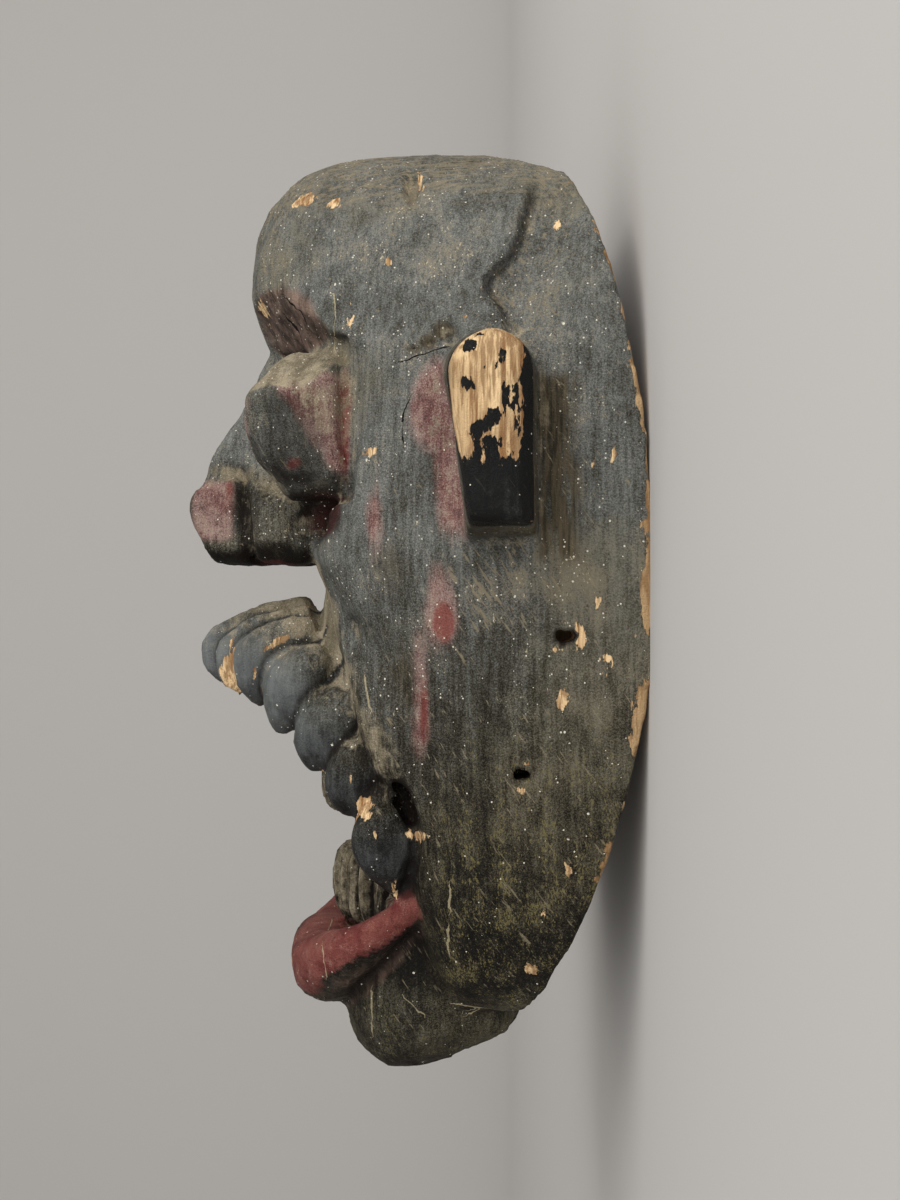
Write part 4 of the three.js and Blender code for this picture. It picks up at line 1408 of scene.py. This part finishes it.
class Weathering:
    """What the layers of paint share: noise of several sizes, streaks, wear and the fields they follow."""

    def __init__(self, board):
        place = board.place()
        self.fine = board.between(board.noise(place, 2200.0, 2.0, 0.65), 0.34, 0.66)
        self.cloud = board.noise(place, 260.0, 3.0, 0.65)
        self.mottle = board.noise(place, 62.0, 3.0, 0.6)
        self.wide = board.noise(place, 19.0, 3.0, 0.55)
        self.blister = board.cells(place, 1500.0)
        self.streak = streaks(board, 230.0)
        self.brushed = streaks(board, 900.0)
        self.tone = board.field("tone")
        self.fresh = board.field("fresh")
        self.coarse = board.piled(1.0, (self.fresh, -0.7))
        strokes = drawn_noise(board, (1.0, 1.0, 0.05), 620.0, 0.6)
        self.strokes = board.times(board.between(strokes, 0.48, 0.57), board.field("crown"))
        scraped = drawn_noise(board, (1.0, 0.09, 1.0), 900.0, 0.6, (0.62, 0.0, 0.0))
        worn = board.stirred(board.field("tan"), (self.cloud, 0.7), (scraped, 4.2))
        self.worn = board.times(board.between(worn, 0.55, 0.95), 0.8)


def black_paint(board, w):
    """Paint from brown-black to slate, blistered, brushed, stained and rubbed, and blacker where fresh."""
    lift = board.stirred(w.tone, (w.mottle, 0.74), (w.wide, 0.45), (w.cloud, 0.22), (w.streak, 0.18))
    grain = board.stirred(0.0, (w.blister, -0.18), (w.brushed, 0.24), (w.fine, 0.36))
    lift = board.times(board.piled(lift, (grain, w.coarse)), 0.8, clamp=True)
    paint = board.ramp(lift, PAINT_STOPS)
    powdered = board.stirred(0.5, (w.fine, 0.4), (w.wide, 1.6), (w.mottle, 2.6), (w.brushed, 0.35))
    powdered = board.times(board.between(powdered, 0.5, 1.2), board.between(w.tone, 0.15, 0.8, 0.04, 0.5))
    paint = board.coat(paint, powdered, w.coarse, "powdered")
    olive = board.times(board.between(board.stirred(w.wide, (w.cloud, 0.3)), 0.48, 0.66), 0.5)
    paint = board.coat(paint, olive, lift, "olive")
    run = board.stirred(w.streak, (w.brushed, 0.5))
    stain = board.times(board.field("stain"), board.between(run, -0.1, 0.35))
    soaked = board.mix(w.brushed, "stain_dark", "stain_light")
    paint = board.coat(paint, stain, 0.9, soaked)
    paint = board.mix(w.worn, paint, "worn")
    paint = board.coat(paint, w.strokes, 0.6, "stroke")
    lacquer = board.mix(board.between(lift, 0.12, 0.75), "lacquer_dark", "lacquer_light")
    return board.coat(paint, w.fresh, 0.9, lacquer)


def red_paint(board, w, paint):
    """Red paint over the black: dusky where it is rubbed, deep where it is kept, brown on undersides."""
    rubbed = board.stirred(w.cloud, (w.fine, 0.4), (w.brushed, 0.22))
    dusky = board.mix(board.between(w.mottle, 0.36, 0.64), "rose_dark", "rose_light")
    dusky = board.coat(dusky, board.between(rubbed, 0.45, 0.8), 0.75, "rose_rubbed")
    dusky = board.coat(dusky, board.between(rubbed, 0.45, 0.2), 0.7, "rose_soiled")
    paint = board.coat(paint, ragged(board, "rose", 4.0, 1.6, 260.0), 0.82, dusky)
    blotch = board.stirred(w.cloud, (w.fine, 0.3))
    crimson = board.mix(board.between(w.mottle, 0.35, 0.65), "red_dark", "red_light")
    crimson = board.coat(crimson, board.between(blotch, 0.5, 0.8), 0.6, "red_rubbed")
    crimson = board.coat(crimson, board.between(blotch, 0.42, 0.2), 0.6, "red_soiled")
    paint = board.coat(paint, ragged(board, "red", 1.5, 0.8, 330.0), 0.92, crimson)
    run = board.stirred(w.streak, (w.brushed, 0.5))
    brown = board.mix(run, "ruddy_dark", "ruddy_light")
    return board.coat(paint, ragged(board, "ruddy", 5.0, 2.0, 220.0), 0.8, brown)


def shade_dirt_and_dust(board, w, paint):
    """Painted shade and soiling in hollows, under overhangs and in gaps, and dust on ledges; returns the
    colour, and where dust lies.
    """
    # near-black laid where the shade-and-grime field is: painted shade with soiling
    shade_and_dirt = board.times(board.field("grime"), board.between(w.cloud, 0.2, 0.6, 0.7, 1.0))
    paint = board.coat(paint, shade_and_dirt, 0.95, "shade_and_dirt")
    settled = board.stirred(board.field("dust"), (w.cloud, 1.5), (w.brushed, 0.3))
    settled = board.times(board.between(settled, 0.25, 1.0), 0.92)
    speckled = board.stirred(w.streak, (w.fine, 0.5))
    powder = board.mix(speckled, "dust_dark", "dust_light")
    return board.mix(settled, paint, powder), settled


def small_marks(board, w, paint):
    """Ochre flecks, scratches, white specks, small chips and dark pits."""
    flecks = drawn_noise(board, (1.0, 0.35, 1.0), 1900.0, 0.7)
    flecks = board.stirred(flecks, (w.streak, 0.14), (w.mottle, 0.4))
    flecks = board.times(board.between(flecks, 0.57, 0.66), board.field("ochre"))
    paint = board.coat(paint, flecks, 0.85, "ochre")
    paint = board.coat(paint, thin_lines(board, "scratch", 0.3), 0.7, "scratch")
    on_pale = board.between(w.tone, 0.1, 0.8, 0.15, 1.0)
    amount = board.times(on_pale, board.between(w.mottle, 0.35, 0.65, 0.08, 0.44))
    white = board.math("MAXIMUM", specks(board, 820.0, 0.18, amount), specks(board, 430.0, 0.15, 0.035))
    paint = board.coat(paint, white, 0.95, "speck")
    chipped = drawn_noise(board, (1.0, 0.6, 1.0), 1300.0, 0.7)
    chipped = board.stirred(chipped, (w.cloud, 0.25), (w.mottle, 0.45))
    chipped = board.times(board.between(chipped, 0.70, 0.73), board.between(w.tone, 0.2, 0.7))
    paint = board.coat(paint, chipped, w.coarse, "chip")
    pits = specks(board, 1000.0, 0.3, board.between(w.cloud, 0.3, 0.7, 0.4, 0.1))
    unworn = board.times(w.coarse, board.math("SUBTRACT", 0.45, w.worn), clamp=True)
    return board.coat(paint, pits, unworn, "pit")


def painted_wood():
    """Black paint over wood, gone slate grey above and brown below, with red parts, dust and bare chips."""
    material, board, shader = new_material("painted_wood")
    w = Weathering(board)
    paint = red_paint(board, w, black_paint(board, w))
    paint, settled = shade_dirt_and_dust(board, w, paint)
    paint = small_marks(board, w, paint)

    # Bare wood where the paint is gone, and cracks through both
    bare = ragged(board, "bare", 4.6, 0.12, 560.0)
    wood = board.use(WOOD_GRAIN, Light="wood_light", Dark="wood_dark")
    soiled = board.between(board.stirred(w.mottle, (w.brushed, 0.35)), 0.46, 0.7)
    soiled = board.coat(wood["Color"], soiled, 0.8, "wood_soiled")
    soiled = board.coat(soiled, board.field("aged"), 0.6, "wood_handled")
    crack = thin_lines(board, "crack", 0.2)
    skin_colour = board.mix(crack, board.mix(bare, paint, soiled), "crack")
    board.put(shader.inputs["Base Color"], skin_colour)
    shader.inputs["Specular IOR Level"].default_value = 0.14
    rough = board.stirred(board.piled(0.7, (w.fresh, -0.2), (settled, 0.22)), (w.fine, 0.2))
    board.put(shader.inputs["Roughness"], board.piled(rough, (bare, 0.14)))

    # Relief in millimetres
    fibres = board.noise(board.stretched(board.place(), (1.0, 0.07, 1.0)), 620.0, 2.0, 0.6)
    height = board.piled(board.times(fibres, 0.14), (w.fine, 0.13), (w.cloud, 0.3), (w.strokes, -0.4))
    height = board.piled(height, (w.blister, board.piled(-0.22, (w.fresh, 0.16))), (bare, -0.34))
    height = board.piled(height, (board.times(bare, wood["Height"]), 1.2), (crack, -0.8))
    raise_surface(board, shader, height, 0.9)
    return material


def hollow_wood():
    """The inside: bare wood gone brown from handling, streaked and dusty."""
    material, board, shader = new_material("hollow_wood")
    place = board.place()
    wood = board.use(WOOD_GRAIN, Light="hollow_light", Dark="hollow_dark")
    streak = streaks(board, 90.0)
    blots = board.piled(-10.5, (board.noise(place, 22.0, 4.0), 20.0))
    stain = board.use(RAGGED_EDGE, Field=blots, Raggedness=3.0, Softness=3.0, Fineness=160.0)["Mask"]
    tint = board.coat(wood["Color"], streak, 0.45, "hollow_streak")
    tint = board.coat(tint, stain, 0.6, "hollow_stain")
    tint = board.coat(tint, specks(board, 300.0, 0.2, 0.08), 0.7, "hollow_dust")
    board.put(shader.inputs["Base Color"], tint)
    board.put(shader.inputs["Roughness"], board.between(streak, 0.0, 1.0, 0.82, 0.66))
    raise_surface(board, shader, board.piled(wood["Height"], (board.noise(place, 240.0, 4.0), 0.5)), 0.8)
    return material


# The mask

def carved_forms():
    """Every carved mass as a closed skin, the right side a little different from the left."""
    eye = boulder(**EYE, facets=EYE_FACETS)
    wing = boulder(**NOSE_WING, facets=WING_FACETS)
    ear_block = ear()
    fold = cheek_fold()
    forms = [
        block(), eye, mirrored(eye, (0.6, -0.9, -0.5)), boulder(**MUZZLE), boulder(**GUMS),
        level_sections(CHIN, 60, 72, 3.0), nose_ridge(), boulder(**NOSE_BULB, facets=BULB_FACETS),
        wing, mirrored(wing, (-0.3, 0.6, 0)), lower_lip(), hood(), fold, mirrored(fold),
        ear_block, mirrored(ear_block, (0, -0.8, 0.4)),
    ]
    locks = [lock(*form, bluntness) for form, bluntness in zip(LOCKS, LOCK_BLUNTNESS)]
    return forms + locks + [mirrored(form) for form in locks] + teeth()


def both_sides(form):
    """A rounded cut and its mirror image as one list of points and triangles."""
    cutter = boulder(**form)
    return gathered([cutter, mirrored(cutter)])


def cheek_share(points):
    """From 0 to 1 on the swelling beside the moustache, off the locks, where the carving is smoothed most."""
    x, y, z = points.T
    side = np.abs(x)
    locks, _, _ = nearness_to_locks(points)
    share = smoothstep(side, 26, 34) * smoothstep(y, -70, -60) * (1 - smoothstep(y, 8, 16))
    return share * smoothstep(z, 46, 56) * (1 - smoothstep(locks, -4, -1)) * (side < 78)


def carve_mask():
    """The finished skin: the masses joined, cut, given their relief, hollowed and bored."""
    joined = merged(mesh_of("masses", *gathered(carved_forms())), GRAIN_STEP)
    scooped = cut(joined, [both_sides(form) for form in (EAR_SCOOP, EYE_RECESS, NOSTRIL, MOUTH_SLOT)])
    carved = merged(scooped, GRAIN_STEP)
    edges = edges_of(carved)
    points = relaxed(points_of(carved), edges, SMOOTHING["block"])
    smooth = relaxed(points, edges, SMOOTHING["cheek"])
    points = blend(points, smooth, cheek_share(points)[:, None])
    move_points(carved, points)
    move_points(carved, relief(points_of(carved), normals_of(carved)))
    holes = [tie_hole(*hole) for hole in TIE_HOLES]
    bores = gathered(holes + [mirrored(hole) for hole in holes])
    return thinned(cut(carved, [hollow(), both_sides(SIGHT_SLIT), bores, slab()]))


def edge_field(points, normals, edges):
    """How much each point stands out from its smoothed surroundings along its normal, in millimetres."""
    smooth = relaxed(points, edges, SMOOTHING["edge"])
    return relaxed(np.sum((points - smooth) * normals, axis=1), edges, 1)


def in_hollow(points):
    """True for points on the hollow's own surface: inside its outline and at or under its roof."""
    x, y, z = points.T
    along = (y - HOLLOW["bottom"]) / (HOLLOW["top"] - HOLLOW["bottom"])
    rise = HOLLOW_ENDS["inside"] * blend(-1, 1, along)
    half = HOLLOW["half_width"] * remainder(rise, HOLLOW["power"]) + HOLLOW_MARGIN
    roof = curve_through(HOLLOW_ROOF, y)[..., 0] + HOLLOW_MARGIN
    up = np.clip((z - HOLLOW["floor"]) / (roof - HOLLOW["floor"]), 0, None)
    lean = 1 - WALL_LEAN * (z - HOLLOW["floor"]) / RIM_HALF_WIDTH
    across = np.abs(x) / np.maximum(half * lean, 1e-3)
    return (up ** HOLLOW["arch"] + across ** HOLLOW["arch"] < 1) & (np.abs(rise) < 1.02)


def dressed_mask():
    """The carved skin as the finished piece, in metres, with its paint fields and two finishes."""
    mesh = carve_mask()
    points = points_of(mesh)
    normals = normals_of(mesh)
    hollowed = in_hollow(points)
    fields = paint_fields(points, normals, edge_field(points, normals, edges_of(mesh)), hollowed)
    for name, values in fields.items():
        mesh.attributes.new(name, "FLOAT", "POINT").data.foreach_set("value", values.astype(np.float32))
    mesh.materials.clear()
    mesh.materials.append(painted_wood())
    mesh.materials.append(hollow_wood())
    starts = numbers_of(mesh.polygons, "loop_start")
    totals = numbers_of(mesh.polygons, "loop_total")
    corners = numbers_of(mesh.loops, "vertex_index")
    inside = np.add.reduceat(hollowed[corners].astype(int), starts) == totals
    mesh.polygons.foreach_set("material_index", inside.astype(np.int32))
    mesh.polygons.foreach_set("use_smooth", np.ones(len(mesh.polygons), bool))
    move_points(mesh, (points + (0, MIDDLE_Y, 0)) * METRE)
    mesh.set_sharp_from_angle(angle=SHARP_EDGE)
    mesh.name = "carved_mask"
    return placed("carved_mask", mesh)


mask = dressed_mask()
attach(mask, "root")
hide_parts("mask")

# Stage, light and camera, in metres
BACKDROP = {"front": 3.0, "wall": -1.5, "bend": 0.6, "height": 4.0, "half_width": 3.5, "columns": 8}


def backdrop():
    """A floor that curves up into a wall far behind the mask: a flat run, a quarter circle and a rise."""
    bend = np.linspace(0, math.pi / 2, 24)
    radius, wall, columns = BACKDROP["bend"], BACKDROP["wall"], BACKDROP["columns"]
    x = np.concatenate([[BACKDROP["front"], 0.0], wall + radius - radius * np.sin(bend), [wall]])
    z = np.concatenate([[0.0, 0.0], radius - radius * np.cos(bend), [BACKDROP["height"]]])
    y = np.linspace(-BACKDROP["half_width"], BACKDROP["half_width"], columns)
    level = np.ones((len(x), columns))
    grid = np.stack([x[:, None] * level, y * level, z[:, None] * level], axis=-1)
    index = np.arange(len(x) * columns).reshape(len(x), columns)
    quads = np.stack([index[:-1, :-1], index[1:, :-1], index[1:, 1:], index[:-1, 1:]], axis=-1).reshape(-1, 4)
    triangles = np.concatenate([quads[:, [0, 1, 2]], quads[:, [0, 2, 3]]])
    mesh = mesh_of("backdrop", grid.reshape(-1, 3), triangles[:, ::-1])
    mesh.polygons.foreach_set("use_smooth", np.ones(len(mesh.polygons), bool))
    material, _, shader = new_material("pale_paper")
    shader.inputs["Base Color"].default_value = COLOURS["paper"]
    shader.inputs["Roughness"].default_value = 0.9
    mesh.materials.append(material)
    return placed("backdrop", mesh)


def soft_light(name, place, target, size, watts, tint):
    """A square soft light aimed at a point."""
    lamp = bpy.data.lights.new(name, "AREA")
    lamp.shape = "SQUARE"
    lamp.size = size
    lamp.energy = watts
    lamp.color = tint
    thing = bpy.data.objects.new(name, lamp)
    bpy.context.scene.collection.objects.link(thing)
    thing.location = place
    way = np.array(target) - np.array(place)
    thing.rotation_euler = Vector(way).to_track_quat("-Z", "Y").to_euler()


backdrop()
LIT_PLACE = (0.0, 0.0, 0.05)
soft_light("sky_over_crown", (0.6, 1.1, 0.7), LIT_PLACE, 1.3, 12.5, (1.0, 0.985, 0.96))
soft_light("fill_from_side", (1.6, 0.25, 0.5), LIT_PLACE, 1.6, 15.0, (1.0, 0.99, 0.98))
world = bpy.data.worlds.new("soft_room")
world.use_nodes = True
world.node_tree.nodes["Background"].inputs["Color"].default_value = COLOURS["room"]
world.node_tree.nodes["Background"].inputs["Strength"].default_value = 0.42
bpy.context.scene.world = world
bpy.context.scene.view_settings.view_transform = "Standard"

PICTURE_HEIGHT = 1200
FOCAL_PIXELS = 1582
CAMERA_PLACE = (0.520, 0.00335, 0.055)
lens = bpy.data.cameras.new("camera")
lens.sensor_fit = "VERTICAL"
lens.angle = 2 * math.atan(PICTURE_HEIGHT / 2 / FOCAL_PIXELS)
lens.clip_start = 0.01
camera = bpy.data.objects.new("camera", lens)
bpy.context.scene.collection.objects.link(camera)
camera.location = CAMERA_PLACE
camera.rotation_euler = Matrix(((0, 0, 1), (0, 1, 0), (-1, 0, 0))).to_euler()
bpy.context.scene.camera = camera
